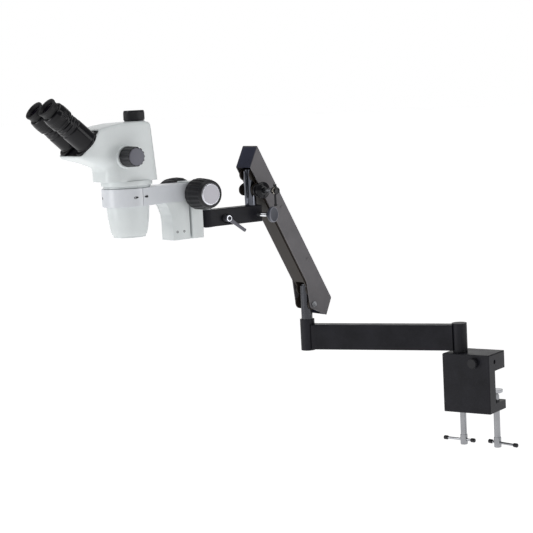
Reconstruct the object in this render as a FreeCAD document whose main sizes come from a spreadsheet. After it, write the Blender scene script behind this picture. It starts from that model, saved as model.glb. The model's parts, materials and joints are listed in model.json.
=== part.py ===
"""Trinocular stereo microscope on a sprung articulating arm with a table clamp.

Frame: millimetres, +Z up.  The origin is the middle of the flat underside of the
clamp's upper jaw, the face that rests on the table.  +X runs along the table's edge
and +Y points in over the table.  The arm is drawn in one working pose, set by the
headings and the tilt in the sheet.
"""
import FreeCAD, Part
import math
import os
import re
import Sketcher
from FreeCAD import Placement, Rotation, Vector

# ----------------------------------------------------------------- driving dimensions
DIMENSIONS = {
    # clamp
    "block_width": 96, "block_depth": 66, "block_height": 110,
    "upper_jaw": 32, "lower_jaw": 17, "jaw_reach": 42, "block_round": 2,
    "post_inset_x": 26.5, "post_inset_y": 23, "post_radius": 10, "post_bore_depth": 28,
    "running_gap": 0.05, "part_gap": 0.3,
    "knob_inset_x": 30.5, "knob_height": 17, "lock_screw_radius": 4,
    "lock_knob_radius": 9.4, "lock_knob_length": 10, "plunger_radius": 4,
    "clamp_screw_spacing": 70, "clamp_screw_y": 6, "clamp_screw_radius": 6,
    "pad_radius": 13, "pad_thickness": 6, "pad_top": -40, "screw_bottom": -150,
    "hub_radius": 7, "hub_length": 20, "bar_length": 68, "bar_radius": 2.5,
    "bar_cap_radius": 4, "bar_cap_length": 12, "bar_height": -141,
    "left_bar_shift": -10, "right_bar_shift": 13,
    "left_bar_heading": -5, "right_bar_heading": -14,
    # lower arm
    "lower_arm_heading": 194, "lower_arm_length": 298, "arm_gap": 4,
    "tube_height": 48, "tube_width": 25, "tube_wall": 2.5, "tube_round": 2,
    "boss_radius": 14, "near_boss_top": 55, "near_boss_bottom": 0.6,
    "elbow_boss_top": 62, "elbow_boss_bottom": 2, "elbow_bore_depth": 50,
    # spring arm
    "arm_heading": 251, "arm_tilt": 62.2, "link_length": 257.5, "pin_spacing": 28,
    "pivot_height": 30, "swivel_post_radius": 10.8, "swivel_post_top": 38,
    "pin_radius": 4, "link_end_radius": 11,
    "cover_width": 46, "cover_wall": 2, "cover_bottom": 8.5, "cover_top": 43,
    "cover_top_front": 69.5, "cover_bottom_front": 44, "cover_tail_top": 12.5,
    "cover_tail_bottom": 35, "cover_tail_rise": 15, "ear_radius": 9,
    "ear_start": 46, "cap_thickness": 3,
    "channel_half_width": 20.4, "channel_wall": 3, "channel_height": 38,
    "web_start": 48, "web_end_gap": 28, "web_thickness": 2,
    "bar_inner": 12.5, "bar_thickness": 4, "link_bar_height": 12, "link_floor": 1.4,
    "link_floor_start": 20, "link_floor_gap": 42,
    "gas_radius": 5.4, "gas_length": 100, "gas_start": 58, "gas_level": 30,
    "gas_rod_radius": 2.5, "gas_rod_length": 58, "gas_pin_radius": 1.6,
    "gas_rod_start": 84,
    "lock_washer_radius": 11.5, "lock_washer_end": 27, "lock_neck_radius": 6,
    "lock_neck_end": 37, "lock_disc_radius": 15.5, "lock_cone_radius": 8,
    "lock_disc_end": 42, "lock_shaft_radius": 4.5, "lock_head_radius": 6.5,
    "lock_head_start": 70, "lock_head_end": 84, "lock_bar_length": 40,
    "lock_bar_radius": 2.1, "lock_bar_shift": -8,
    # short arm
    "short_arm_drop": 28.4, "short_arm_height": 31, "short_arm_width": 30,
    "short_arm_length": 99.2, "short_arm_start": 15, "collar_radius": 15,
    "mount_pin_radius": 7.94, "slot_width": 2, "slot_length": 52,
    "lever_place": 69.5, "lever_level": -17.7, "lever_screw_radius": 3,
    "lever_hub_radius": 6.5, "lever_hub_end": 27, "lever_length": 45,
    "lever_drop_angle": 35, "lever_tip_radius": 3.2,
    "set_knob_level": -17.5, "set_knob_heading": 109, "set_screw_radius": 4,
    "set_neck_start": 30, "set_neck_radius": 7, "set_head_start": 44, "set_head_end": 52,
    "set_head_radius": 14.5,
    # focus mount, measured from the ring's centre
    "ring_rise": 53.4, "ring_reach": 168.9,
    "ring_radius": 45, "ring_height": 32, "barrel_radius": 38,
    "ring_split": -5, "split_gap": 0.6, "arm_half_width": 19, "arm_taper_end": -80,
    "column_back": -117, "column_front": -80, "column_bottom": -101,
    "web_front": -66, "web_drop": -68, "column_half_width": 19,
    "housing_front": -120, "housing_back": -145, "housing_half_width": 21,
    "housing_bottom": -101, "housing_top": 2,
    "dovetail_neck": 9, "dovetail_width": 12, "dovetail_depth": 7,
    "rack_half_width": 4, "rack_module": 0.8, "pinion_teeth": 18,
    "pinion_level": -20.5, "pinion_axis": -131, "focus_shaft_radius": 4,
    "focus_knob_start": 23, "focus_knob_end": 70, "focus_knob_radius": 29,
    "focus_face_radius": 23, "focus_disc_radius": 19.5, "flutes": 30,
    "bracket_back": -181, "bracket_bottom": -49, "bracket_top": -20,
    "pin_bottom": -86,
    # head, measured from the ring's centre at the ring's top face
    "shell_half_width": 40, "shell_wall": 3, "shell_back": -46, "shell_back_top": -36.5,
    "shell_bottom": 13, "shell_top": 115, "plate_centre_x": 90, "plate_centre_z": 83,
    "plate_half_length": 29.7, "lip_z": 56.5, "throat_x": 77, "throat_z": 38,
    "neck_front_x": 62, "roof_front_x": 16,
    "flange_radius": 45.5, "flange_bottom": 1.5, "flange_top": 12.7,
    "barrel_bottom": -83, "barrel_foot_radius": 31, "lip_bottom": -87, "lip_radius": 28,
    "objective_radius": 25, "objective_thickness": 6,
    "zoom_x": 21.5, "zoom_z": 56, "zoom_shaft_radius": 4, "zoom_knob_start": 44,
    "zoom_knob_end": 74, "zoom_base_radius": 18, "zoom_face_radius": 16.5,
    "zoom_disc_radius": 15.2, "zoom_flutes": 14,
    "port_x": -23.5, "port_radius": 16, "port_top": 122, "cap_radius": 18.8,
    "cap_top": 134.5, "cap_bottom": 115.6,
    # eyepieces, measured from the tube's axis on the face plate
    "eye_x": 90, "eye_z": 83, "eye_angle": 49, "eye_spacing": 54,
    "face_up": 27.5, "face_down": 26, "face_half_width": 38, "face_thickness": 4,
    "swing_offset": 12, "swing_radius": 15.5, "spigot_radius": 10.4, "swing_height": 4, "right_tube_extra": 7,
    "eye_tube_radius": 20.5, "eye_tube_end": 35, "eye_bore_radius": 15.1,
    "diopter_start": 35.5, "diopter_end": 49, "diopter_radius": 19.8,
    "eyepiece_radius": 21.5, "eyepiece_end": 79, "eyepiece_barrel_radius": 15,
    "eyepiece_barrel_start": 7, "eyepiece_neck_radius": 15.5, "eyepiece_top": 86,
    "eyecup_start": 80, "eyecup_waist": 16.6, "eyecup_rim_radius": 18.2, "eyecup_end": 93.5,
    "eye_lens_radius": 12, "eye_lens_thickness": 4,
    "prism_size": 34,
}

DOC = FreeCAD.newDocument("stereo_microscope")
SHEET = DOC.addObject("Spreadsheet::Sheet", "dims")
NODES = []


def fill_sheet():
    for row, (alias, number) in enumerate(DIMENSIONS.items(), start=1):
        SHEET.set("A%d" % row, alias)
        SHEET.set("B%d" % row, str(number))
        SHEET.setAlias("B%d" % row, alias)
    DOC.recompute()


def size(alias):
    """The number that the sheet holds under this alias."""
    return float(SHEET.get(alias))


def formula(text):
    """An expression with every alias pointed at the sheet."""
    return re.sub(r"[a-z][a-z_]*[a-z]", lambda word: word.group(0) if word.group(0) not in
                  DIMENSIONS else "dims." + word.group(0), str(text))


def value(text):
    """The number an expression gives now, for a first guess before it is bound."""
    return float(work_out(str(text)))


def work_out(text):
    total = 0.0
    for sign, product in re.findall(r"([+-]?)\s*([^+-]+)", text.replace("(", "").replace(")", "")):
        term = 1.0
        for operator, factor in re.findall(r"([*/]?)\s*([a-z_0-9.]+)", product):
            number = size(factor) if factor in DIMENSIONS else float(factor)
            term = term / number if operator == "/" else term * number
        total += -term if sign == "-" else term
    return total


# ------------------------------------------------------------------------ the frames
def frame(base, x=0.0, y=0.0, z=0.0, axis=Vector(0, 0, 1), angle=0.0):
    """A frame inside another: moved first, then turned about one of its axes."""
    return base.multiply(Placement(Vector(x, y, z), Rotation(axis, angle)))


def make_frames():
    top = size("upper_jaw")
    post_x = size("post_inset_x") - size("block_width") / 2
    post_y = size("post_inset_y") - (size("block_depth") - size("jaw_reach") / 2)
    frames = {"clamp": Placement()}
    frames["lower_arm"] = frame(Placement(), post_x, post_y, top, angle=size("lower_arm_heading"))
    elbow = frame(frames["lower_arm"], x=size("lower_arm_length"))
    pivot_z = size("elbow_boss_top") + size("pivot_height")
    turn = size("arm_heading") - size("lower_arm_heading")
    frames["post_2"] = frame(elbow, z=pivot_z, angle=turn)
    frames["link"] = frame(frames["post_2"], axis=Vector(0, 1, 0), angle=-size("arm_tilt"))
    tilt = math.radians(size("arm_tilt"))
    reach = size("link_length") * math.cos(tilt)
    rise = size("link_length") * math.sin(tilt)
    frames["post_3"] = frame(frames["post_2"], x=reach, z=rise)
    frames["short_arm"] = frame(frames["post_3"], z=-size("short_arm_drop"))
    ring_x = size("short_arm_length") + size("ring_reach")
    frames["head"] = frame(frames["short_arm"], x=ring_x, z=size("ring_rise"))
    frames["eyes"] = frame(frames["head"], size("eye_x"), 0, size("eye_z"),
                           Vector(0, 1, 0), size("eye_angle"))
    return frames


# ----------------------------------------------------------------- building blocks
def keep(thing, node, place):
    """Name a finished sub-part after its node and put it in its place."""
    thing.Label = node
    thing.Placement = place
    NODES.append(thing)
    return thing


def bound(thing, **expressions):
    for name, text in expressions.items():
        thing.setExpression(name.replace("__", "."), formula(text))
    return thing


def move(thing, at):
    for letter, text in zip("xyz", at):
        thing.setExpression("Placement.Base." + letter, formula(text))
    return thing


def block(name, length, width, height, at):
    """A box whose corner with the least x, y and z stands at the given point."""
    box = bound(DOC.addObject("Part::Box", name), Length=length, Width=width, Height=height)
    return move(box, at)


TURNS = {"z": Rotation(), "x": Rotation(Vector(0, 1, 0), 90), "y": Rotation(Vector(1, 0, 0), -90)}


def rod(name, radius, length, at, along="z"):
    cylinder = bound(DOC.addObject("Part::Cylinder", name), Radius=radius, Height=length)
    cylinder.Placement = Placement(Vector(), TURNS[along])
    return move(cylinder, at)


def fused(name, shapes):
    union = DOC.addObject("Part::MultiFuse", name)
    union.Shapes = shapes
    return union


def cut(name, base, tools):
    tool = tools[0] if len(tools) == 1 else fused(name + "_tools", tools)
    result = DOC.addObject("Part::Cut", name)
    result.Base = base
    result.Tool = tool
    return result


def group(name, shapes):
    compound = DOC.addObject("Part::Compound", name)
    compound.Links = shapes
    return compound


def rounded(name, base, radius, wanted):
    """Fillet the edges of a finished shape that the test picks."""
    DOC.recompute()
    picked = [n for n, edge in enumerate(base.Shape.Edges, start=1) if wanted(edge)]
    fillet = DOC.addObject("Part::Fillet", name)
    fillet.Base = base
    fillet.Edges = [(n, size(radius), size(radius)) for n in picked]
    return fillet


def runs_along(edge, axis):
    if edge.Curve.TypeId != "Part::GeomLine":
        return False
    return abs(edge.tangentAt(edge.FirstParameter).dot(axis)) > 0.999


def plane_of(body, role):
    return next(item for item in body.Origin.OriginFeatures if item.Role == role)


def sketch_on(body, role, name, offset=None):
    sketch = body.newObject("Sketcher::SketchObject", name)
    sketch.AttachmentSupport = [(plane_of(body, role), "")]
    sketch.MapMode = "FlatFace"
    if offset is not None:
        sketch.setExpression("AttachmentOffset.Base.z", formula(offset))
    return sketch


def outline(sketch, corners):
    """A closed outline of straight sides, each corner bound to two expressions."""
    corners = [corner for before, corner in zip(corners[-1:] + corners, corners)
               if (value(before[0]), value(before[1])) != (value(corner[0]), value(corner[1]))]
    points = [Vector(value(x), value(y), 0) for x, y in corners]
    for start, end in zip(points, points[1:] + points[:1]):
        sketch.addGeometry(Part.LineSegment(start, end), False)
    count = len(points)
    for side in range(count):
        sketch.addConstraint(Sketcher.Constraint("Coincident", side, 2, (side + 1) % count, 1))
    for side, (x, y) in enumerate(corners):
        for kind, text in (("DistanceX", x), ("DistanceY", y)):
            number = value(text)
            place = sketch.addConstraint(Sketcher.Constraint(kind, -1, 1, side, 1, number))
            sketch.setExpression("Constraints[%d]" % place, formula(text))


def circle(sketch, x, y, radius):
    centre = Vector(value(x), value(y), 0)
    item = sketch.addGeometry(Part.Circle(centre, Vector(0, 0, 1), value(radius)), False)
    for kind, text in (("DistanceX", x), ("DistanceY", y)):
        place = sketch.addConstraint(Sketcher.Constraint(kind, -1, 1, item, 3, value(text)))
        sketch.setExpression("Constraints[%d]" % place, formula(text))
    place = sketch.addConstraint(Sketcher.Constraint("Radius", item, value(radius)))
    sketch.setExpression("Constraints[%d]" % place, formula(radius))


def turned(name, profile):
    """A lathe-turned body: a half section of (radius, height) corners about Z."""
    body = DOC.addObject("PartDesign::Body", name)
    sketch = sketch_on(body, "XZ_Plane", name + "_section")
    outline(sketch, profile)
    spin = body.newObject("PartDesign::Revolution", name + "_turning")
    spin.Profile = sketch
    spin.ReferenceAxis = (sketch, ["V_Axis"])
    spin.Angle = 360
    body.Tip = spin
    return body


def solid_profile(steps):
    """Corners of a solid half section from steps of (radius, from, to), bottom first."""
    corners = [("0", steps[0][1])]
    for radius, start, end in steps:
        corners += [(radius, start), (radius, end)]
    return corners + [("0", steps[-1][2])]


def drilled(body, name, role, offset, x, y, radius, depth):
    """A round hole from the offset plane, cut against the plane's own direction."""
    DOC.recompute()
    before = body.Shape.Volume
    sketch = sketch_on(body, role, name + "_circle", offset)
    circle(sketch, x, y, radius)
    pocket = body.newObject("PartDesign::Pocket", name)
    pocket.Profile = sketch
    bound(pocket, Length=depth)
    body.Tip = pocket
    DOC.recompute()
    if body.Shape.Volume >= before:
        raise ValueError(name + " cuts nothing")
    return pocket


def softened(body, name, radius, wanted):
    """Fillet the edges of a body that the test picks."""
    DOC.recompute()
    picked = ["Edge%d" % n for n, edge in enumerate(body.Shape.Edges, start=1) if wanted(edge)]
    last = body.Tip
    fillet = body.newObject("PartDesign::Fillet", name)
    fillet.Base = (last, picked)
    bound(fillet, Radius=radius)
    body.Tip = fillet
    DOC.recompute()
    return fillet


def feature(name, shape):
    item = DOC.addObject("Part::Feature", name)
    item.Shape = shape
    return item


def disc_pattern(count, radius, tool):
    """Copies of a cutting tool spread evenly round Z at a radius."""
    copies = []
    for number in range(count):
        angle = 360.0 * number / count
        spot = Rotation(Vector(0, 0, 1), angle)
        copy = tool.copy()
        copy.Placement = Placement(spot.multVec(Vector(radius, 0, 0)), spot)
        copies.append(copy)
    return copies


def fluted(name, body, count, radius, flute, start, end):
    """A turned body with round flutes cut along its rim."""
    DOC.recompute()
    tool = Part.makeCylinder(flute, end - start, Vector(0, 0, start))
    grooves = Part.makeCompound(disc_pattern(count, radius, tool))
    cutter = feature(name + "_flutes", grooves)
    return cut(name, body, [cutter])


# --------------------------------------------------------------------------- the clamp
def clamp_body(frames):
    body = DOC.addObject("PartDesign::Body", "clamp_block")
    side = sketch_on(body, "YZ_Plane", "jaw_profile")
    front = "jaw_reach / 2 - block_depth"
    foot = "upper_jaw - block_height"
    outline(side, [(front, foot), ("jaw_reach / 2", foot),
                   ("jaw_reach / 2", "upper_jaw - block_height + lower_jaw"),
                   ("0 - jaw_reach / 2", "upper_jaw - block_height + lower_jaw"),
                   ("0 - jaw_reach / 2", "0"), ("jaw_reach / 2", "0"),
                   ("jaw_reach / 2", "upper_jaw"), (front, "upper_jaw")])
    pad = body.newObject("PartDesign::Pad", "jaw_pad")
    pad.Profile = side
    bound(pad, Length="block_width")
    pad.Midplane = True
    body.Tip = pad
    outer = size("block_width") / 2
    throat = size("upper_jaw") - size("block_height") + size("lower_jaw")

    def on_outside(edge):
        middle = edge.CenterOfMass
        in_throat = throat - 0.01 < middle.z < 0.01 and middle.y > value(front) + 0.01
        on_rim = abs(abs(middle.x) - outer) < 0.01 or abs(middle.y - value(front)) < 0.01
        return on_rim and not in_throat

    softened(body, "block_edges", "block_round", on_outside)
    post_x = "post_inset_x - block_width / 2"
    post_y = "post_inset_y - block_depth + jaw_reach / 2"
    drilled(body, "post_bore", "XY_Plane", "upper_jaw", post_x, post_y,
            "post_radius + running_gap", "post_bore_depth")
    knob_x = "block_width / 2 - knob_inset_x"
    drilled(body, "knob_hole", "XZ_Plane", "block_depth - jaw_reach / 2", knob_x,
            "knob_height", "lock_screw_radius + running_gap", "post_inset_y - 5")
    drilled(body, "cross_bore", "YZ_Plane", "block_width / 2", post_y, "knob_height",
            "plunger_radius + running_gap", "block_width - post_inset_x - 5")
    for sign in ("0 -", "0 +"):
        drilled(body, "screw_hole", "XY_Plane", "upper_jaw - block_height + lower_jaw",
                sign + " clamp_screw_spacing / 2", "clamp_screw_y",
                "clamp_screw_radius + running_gap", "lower_jaw")
    keep(body, "clamp_body", frames["clamp"])


def clamp_fittings(frames):
    front = size("jaw_reach") / 2 - size("block_depth")
    knob_x = size("block_width") / 2 - size("knob_inset_x")
    knob = turned("lock_knob", solid_profile([
        ("lock_screw_radius", "0 - post_inset_y + 6", "0.3"),
        ("lock_knob_radius - 2", "0.3", "2.3"),
        ("lock_knob_radius", "2.3", "lock_knob_length - 1"),
        ("lock_knob_radius - 1.2", "lock_knob_length - 1", "lock_knob_length")]))
    knob = fluted("lock_knob_grip", knob, 20, size("lock_knob_radius") + 0.5, 1.2, 2,
                  size("lock_knob_length") + 1)
    keep(knob, "post_lock_knob", Placement(Vector(knob_x, front, size("knob_height")),
                                           Rotation(Vector(1, 0, 0), 90)))
    post_x = size("post_inset_x") - size("block_width") / 2
    post_y = size("post_inset_y") + front
    start = post_x + size("post_radius") + 0.1
    plunger = turned("plunger_pin", solid_profile([
        ("plunger_radius", "0", "block_width - post_inset_x - post_radius - 5.5")]))
    keep(plunger, "lock_plunger", Placement(Vector(start, post_y, size("knob_height")),
                                            TURNS["x"]))
    for side, sign in (("left", -1), ("right", 1)):
        place = Placement(Vector(sign * size("clamp_screw_spacing") / 2,
                                 size("clamp_screw_y"), 0), Rotation())
        clamp_screw(side, place)


def clamp_screw(side, place):
    pad_bottom = "pad_top - pad_thickness"
    screw = turned(side + "_screw", solid_profile([
        ("hub_radius - 0.8", "screw_bottom", "screw_bottom + 0.8"),
        ("hub_radius", "screw_bottom + 0.8", "screw_bottom + hub_length - 0.8"),
        ("clamp_screw_radius", "screw_bottom + hub_length - 0.8", pad_bottom + " - 4"),
        ("clamp_screw_radius - 2", pad_bottom + " - 4", pad_bottom + " - 0.3"),
        ("4", pad_bottom + " - 0.3", "pad_top - 1.7")]))
    heading = "%s_bar_heading" % side
    eye = rod(side + "_eye", "bar_radius + running_gap", "4 * hub_radius",
              ("0 - 2 * hub_radius", "0", "bar_height"), "x")
    drilled_screw = cut(side + "_screw_eye", screw, [eye])
    keep(drilled_screw, "clamp_screw_" + side, frame(place, angle=size(heading)))
    pad = turned(side + "_pad", [
        ("4.3", pad_bottom), ("pad_radius - 1", pad_bottom), ("pad_radius", pad_bottom + " + 1"),
        ("pad_radius", "pad_top - 0.5"), ("pad_radius - 0.5", "pad_top"), ("0", "pad_top"),
        ("0", "pad_top - 1.4"), ("4.3", "pad_top - 1.4")])
    keep(pad, "clamp_pad_" + side, place)
    bar = turned(side + "_bar", solid_profile([
        ("bar_cap_radius - 1", "0 - bar_length / 2", "1 - bar_length / 2"),
        ("bar_cap_radius", "1 - bar_length / 2", "bar_cap_length - bar_length / 2"),
        ("bar_radius", "bar_cap_length - bar_length / 2", "bar_length / 2 - bar_cap_length"),
        ("bar_cap_radius", "bar_length / 2 - bar_cap_length", "bar_length / 2 - 1"),
        ("bar_cap_radius - 1", "bar_length / 2 - 1", "bar_length / 2")]))
    turned_place = frame(place, angle=size(heading))
    shift = size("%s_bar_shift" % side)
    keep(bar, "tommy_bar_" + side,
         frame(turned_place, x=shift, z=size("bar_height"), axis=Vector(0, 1, 0), angle=90))


# ----------------------------------------------------------------------- the lower arm
def lower_arm(frames):
    length = "lower_arm_length - 2 * boss_radius + 6"
    start = "boss_radius - 3"
    outer = block("tube_outer", length, "tube_width", "tube_height",
                  (start, "0 - tube_width / 2", "arm_gap"))
    along = Vector(1, 0, 0)
    outer = rounded("tube_rounded", outer, "tube_round", lambda edge: runs_along(edge, along))
    inner = block("tube_inner", length, "tube_width - 2 * tube_wall",
                  "tube_height - 2 * tube_wall",
                  (start, "tube_wall - tube_width / 2", "arm_gap + tube_wall"))
    near = rod("near_cope", "boss_radius", "100", ("0", "0", "0 - 10"))
    far = rod("elbow_cope", "boss_radius", "100", ("lower_arm_length", "0", "0 - 10"))
    keep(cut("tube_cut", outer, [inner, near, far]), "lower_arm_tube", frames["lower_arm"])

    near_boss = cut("near_boss", rod("near_boss_body", "boss_radius",
                                     "near_boss_top - near_boss_bottom",
                                     ("0", "0", "near_boss_bottom")),
                    [rod("near_boss_bore", "post_radius", "near_boss_top - 8",
                         ("0", "0", "0 - 2"))])
    elbow = cut("elbow_boss", rod("elbow_boss_body", "boss_radius",
                                  "elbow_boss_top - elbow_boss_bottom",
                                  ("lower_arm_length", "0", "elbow_boss_bottom")),
                [rod("elbow_boss_bore", "swivel_post_radius + running_gap", "elbow_bore_depth + 5",
                     ("lower_arm_length", "0", "elbow_boss_top - elbow_bore_depth"))])
    keep(group("bosses", [near_boss, elbow]), "lower_arm_bosses", frames["lower_arm"])
    post = turned("post_one", solid_profile([
        ("post_radius - 1", "0.5 - post_bore_depth", "1.5 - post_bore_depth"),
        ("post_radius", "1.5 - post_bore_depth", "near_boss_top - 10")]))
    keep(post, "post_1", frames["lower_arm"])


# ---------------------------------------------------------------------- the spring arm
def cross_holes(name, levels, radius):
    """Holes along Y through a post, one at each level."""
    return [rod("%s_%d" % (name, number), radius, "60", ("0", "0 - 30", level), "y")
            for number, level in enumerate(levels)]


def swivel_posts(frames):
    lower = turned("post_two", solid_profile([
        ("swivel_post_radius - 1", "0.5 - pivot_height - elbow_bore_depth",
         "1.5 - pivot_height - elbow_bore_depth"),
        ("swivel_post_radius", "1.5 - pivot_height - elbow_bore_depth", "swivel_post_top - 3"),
        ("swivel_post_radius - 3", "swivel_post_top - 3", "swivel_post_top")]))
    holes = cross_holes("post_two_hole", ["0", "pin_spacing"], "pin_radius + running_gap")
    keep(cut("post_two_cut", lower, holes), "post_2", frames["post_2"])
    upper = turned("post_three", solid_profile([
        ("swivel_post_radius - 1", "0 - short_arm_drop - short_arm_height",
         "1 - short_arm_drop - short_arm_height"),
        ("swivel_post_radius", "1 - short_arm_drop - short_arm_height", "swivel_post_top - 3"),
        ("swivel_post_radius - 3", "swivel_post_top - 3", "swivel_post_top")]))
    holes = cross_holes("post_three_hole", ["0", "pin_spacing"], "pin_radius + running_gap")
    keep(cut("post_three_cut", upper, holes), "post_3", frames["post_3"])


def plate(points, half_width, wall, side):
    """One side plate cut from a face of (x, z) points or arcs, standing at +Y or -Y."""
    face = Part.Face(Part.Wire(points))
    start = half_width - wall if side > 0 else -half_width
    face.translate(Vector(0, start, 0))
    return face.extrude(Vector(0, wall, 0))


def at(x, z):
    return Vector(x, 0, z)


def cover_outline(inset=0.0):
    """The cover's side: a long parallelogram with a rounded ear at the lower pivot."""
    link = size("link_length")
    bottom = size("cover_bottom") + inset
    top = size("cover_top") - inset
    front_low = at(link + size("cover_bottom_front") - inset, bottom)
    front_high = at(link + size("cover_top_front") - inset, top)
    tail_high = at(inset - size("cover_tail_top"), top)
    tail_low = at(inset - size("cover_tail_bottom"), size("cover_tail_rise") + inset)
    ear = size("ear_radius")
    ear_front = at(ear * math.sin(math.radians(25)), -ear * math.cos(math.radians(25)))
    ear_middle = at(0, -ear)
    slope = math.radians(40)
    ear_back = at(-ear * math.sin(slope), -ear * math.cos(slope))
    ear_foot = at(size("ear_start"), bottom)
    return [Part.LineSegment(ear_foot, front_low).toShape(),
            Part.LineSegment(front_low, front_high).toShape(),
            Part.LineSegment(front_high, tail_high).toShape(),
            Part.LineSegment(tail_high, tail_low).toShape(),
            Part.LineSegment(tail_low, ear_back).toShape(),
            Part.Arc(ear_back, ear_middle, ear_front).toShape(),
            Part.LineSegment(ear_front, ear_foot).toShape()]


def pin_hole(x, z, radius=None):
    radius = size("pin_radius") + size("running_gap") if radius is None else radius
    return Part.makeCylinder(radius, 100, Vector(x, -50, z), Vector(0, 1, 0))


def arm_cover(frames):
    half = size("cover_width") / 2
    wall = size("cover_wall")
    link = size("link_length")
    sides = [plate(cover_outline(), half, wall, side) for side in (1, -1)]
    top_start = -size("cover_tail_top")
    top_length = link + size("cover_top_front") - top_start
    roof = Part.makeBox(top_length, 2 * half, wall,
                        Vector(top_start, -half, size("cover_top") - wall))
    shell = sides[0].fuse([sides[1], roof])
    trim_face = Part.Face(Part.Wire(cover_outline()))
    trim_face.translate(Vector(0, -half, 0))
    shell = shell.common(trim_face.extrude(Vector(0, 2 * half, 0)))
    edges = [edge for edge in shell.Edges if runs_along(edge, Vector(1, 0, 0))
             and abs(edge.CenterOfMass.z - size("cover_top")) < 0.01
             and abs(abs(edge.CenterOfMass.y) - half) < 0.01]
    shell = shell.makeFillet(wall * 0.9, edges)
    shell = shell.cut([pin_hole(0, 0, size("pin_radius") + 1.0),
                       pin_hole(link, 0, size("pin_radius") + 4.0)])
    keep(feature("cover_shell", shell.removeSplitter()), "arm_cover", frames["link"])


def end_caps(frames):
    """Two slanted plates that close the cover's ends between its side walls."""
    half = size("cover_width") / 2 - size("cover_wall") - 0.05
    link = size("link_length")
    thick = size("cap_thickness")
    wall = size("cover_wall") + 0.05
    top = size("cover_top") - wall

    def slanted(low, high):
        along = (high - low).normalize()
        normal = Vector(along.z, 0, -along.x)
        corners = [low, high, high - normal * thick, low - normal * thick]
        face = Part.Face(Part.makePolygon(corners + corners[:1]))
        face.translate(Vector(0, -half, 0))
        return face.extrude(Vector(0, 2 * half, 0))

    front_low = at(link + size("cover_bottom_front"), size("cover_bottom"))
    front_high = at(link + size("cover_top_front"), size("cover_top"))
    part = (top - size("cover_bottom")) / (size("cover_top") - size("cover_bottom"))
    front = slanted(front_low, front_low + (front_high - front_low) * part)
    tail_low = at(-size("cover_tail_bottom"), size("cover_tail_rise"))
    tail_high = at(-size("cover_tail_top"), size("cover_top"))
    part = (top - size("cover_tail_rise")) / (size("cover_top") - size("cover_tail_rise"))
    tail = slanted(tail_low + (tail_high - tail_low) * part, tail_low)
    below_roof = Part.makeBox(link + 400, 100, 200, Vector(-200, -50, top - 200))
    caps = [plate_shape.common(below_roof) for plate_shape in (front, tail)]
    keep(feature("cap_pair", Part.makeCompound(caps)), "arm_end_caps", frames["link"])


def arm_channel(frames):
    """The load-bearing channel inside the cover, from lower pivot to upper pivot."""
    half = size("channel_half_width")
    wall = size("channel_wall")
    link = size("link_length")
    end = size("link_end_radius")
    low = size("cover_bottom")
    high = size("channel_height")

    def side_face():
        tail = at(-end, 0)
        nose = at(link + end, 0)
        return [Part.Arc(tail, at(0, -end), at(end, 0)).toShape(),
                Part.LineSegment(at(end, 0), at(end + 4, low)).toShape(),
                Part.LineSegment(at(end + 4, low), at(link - end - 4, low)).toShape(),
                Part.LineSegment(at(link - end - 4, low), at(link - end, 0)).toShape(),
                Part.Arc(at(link - end, 0), at(link, -end), nose).toShape(),
                Part.LineSegment(nose, at(link + end, high)).toShape(),
                Part.LineSegment(at(link + end, high), at(-end, high)).toShape(),
                Part.LineSegment(at(-end, high), tail).toShape()]

    sides = [plate(side_face(), half, wall, side) for side in (1, -1)]
    web_start = size("web_start")
    web = Part.makeBox(link - size("web_end_gap") - web_start, 2 * half, size("web_thickness"),
                       Vector(web_start, -half, high - size("web_thickness")))
    tower_x = size("gas_start")
    tower_foot = size("gas_level") - 4
    tower = Part.makeBox(12, 8, high - tower_foot, Vector(tower_x - 6, -4, tower_foot))
    channel = sides[0].fuse([sides[1], web, tower])
    holes = [pin_hole(0, 0), pin_hole(link, 0), pin_hole(tower_x, size("gas_level"),
                                                        size("gas_pin_radius"))]
    keep(feature("channel", channel.cut(holes).removeSplitter()), "arm_channel", frames["link"])


def pivot_bolts(frames):
    """Bolt and nut through both ends of the channel; the lower one also holds the cover."""
    half = size("channel_half_width")
    cover = size("cover_width") / 2
    radius = size("pin_radius")
    bolts = []
    for x, reach in ((0, cover + 0.1), (size("link_length"), half + 0.1)):
        shank = Part.makeCylinder(radius, 2 * reach, Vector(x, -reach, 0), Vector(0, 1, 0))
        bolts.append(shank)
    near = Part.makeCylinder(radius + 1.5, 1.6, Vector(0, cover + 0.1, 0), Vector(0, 1, 0))
    slot = Part.makeBox(2 * radius + 4, 1.0, 1.2, Vector(-radius - 2, cover + 0.9, -0.6))
    far = Part.makeCylinder(radius + 1.5, 1.6, Vector(0, -cover - 1.7, 0), Vector(0, 1, 0))
    bolts[0] = bolts[0].fuse([near.cut(slot), far]).removeSplitter()
    keep(feature("bolts", Part.makeCompound(bolts)), "pivot_bolts", frames["link"])


def link_frame(frames):
    """The parallel link's frame: at its lower pin on the post, along the arm."""
    pin = frame(frames["post_2"], z=size("pin_spacing"))
    return frame(pin, axis=Vector(0, 1, 0), angle=-size("arm_tilt"))


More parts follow.
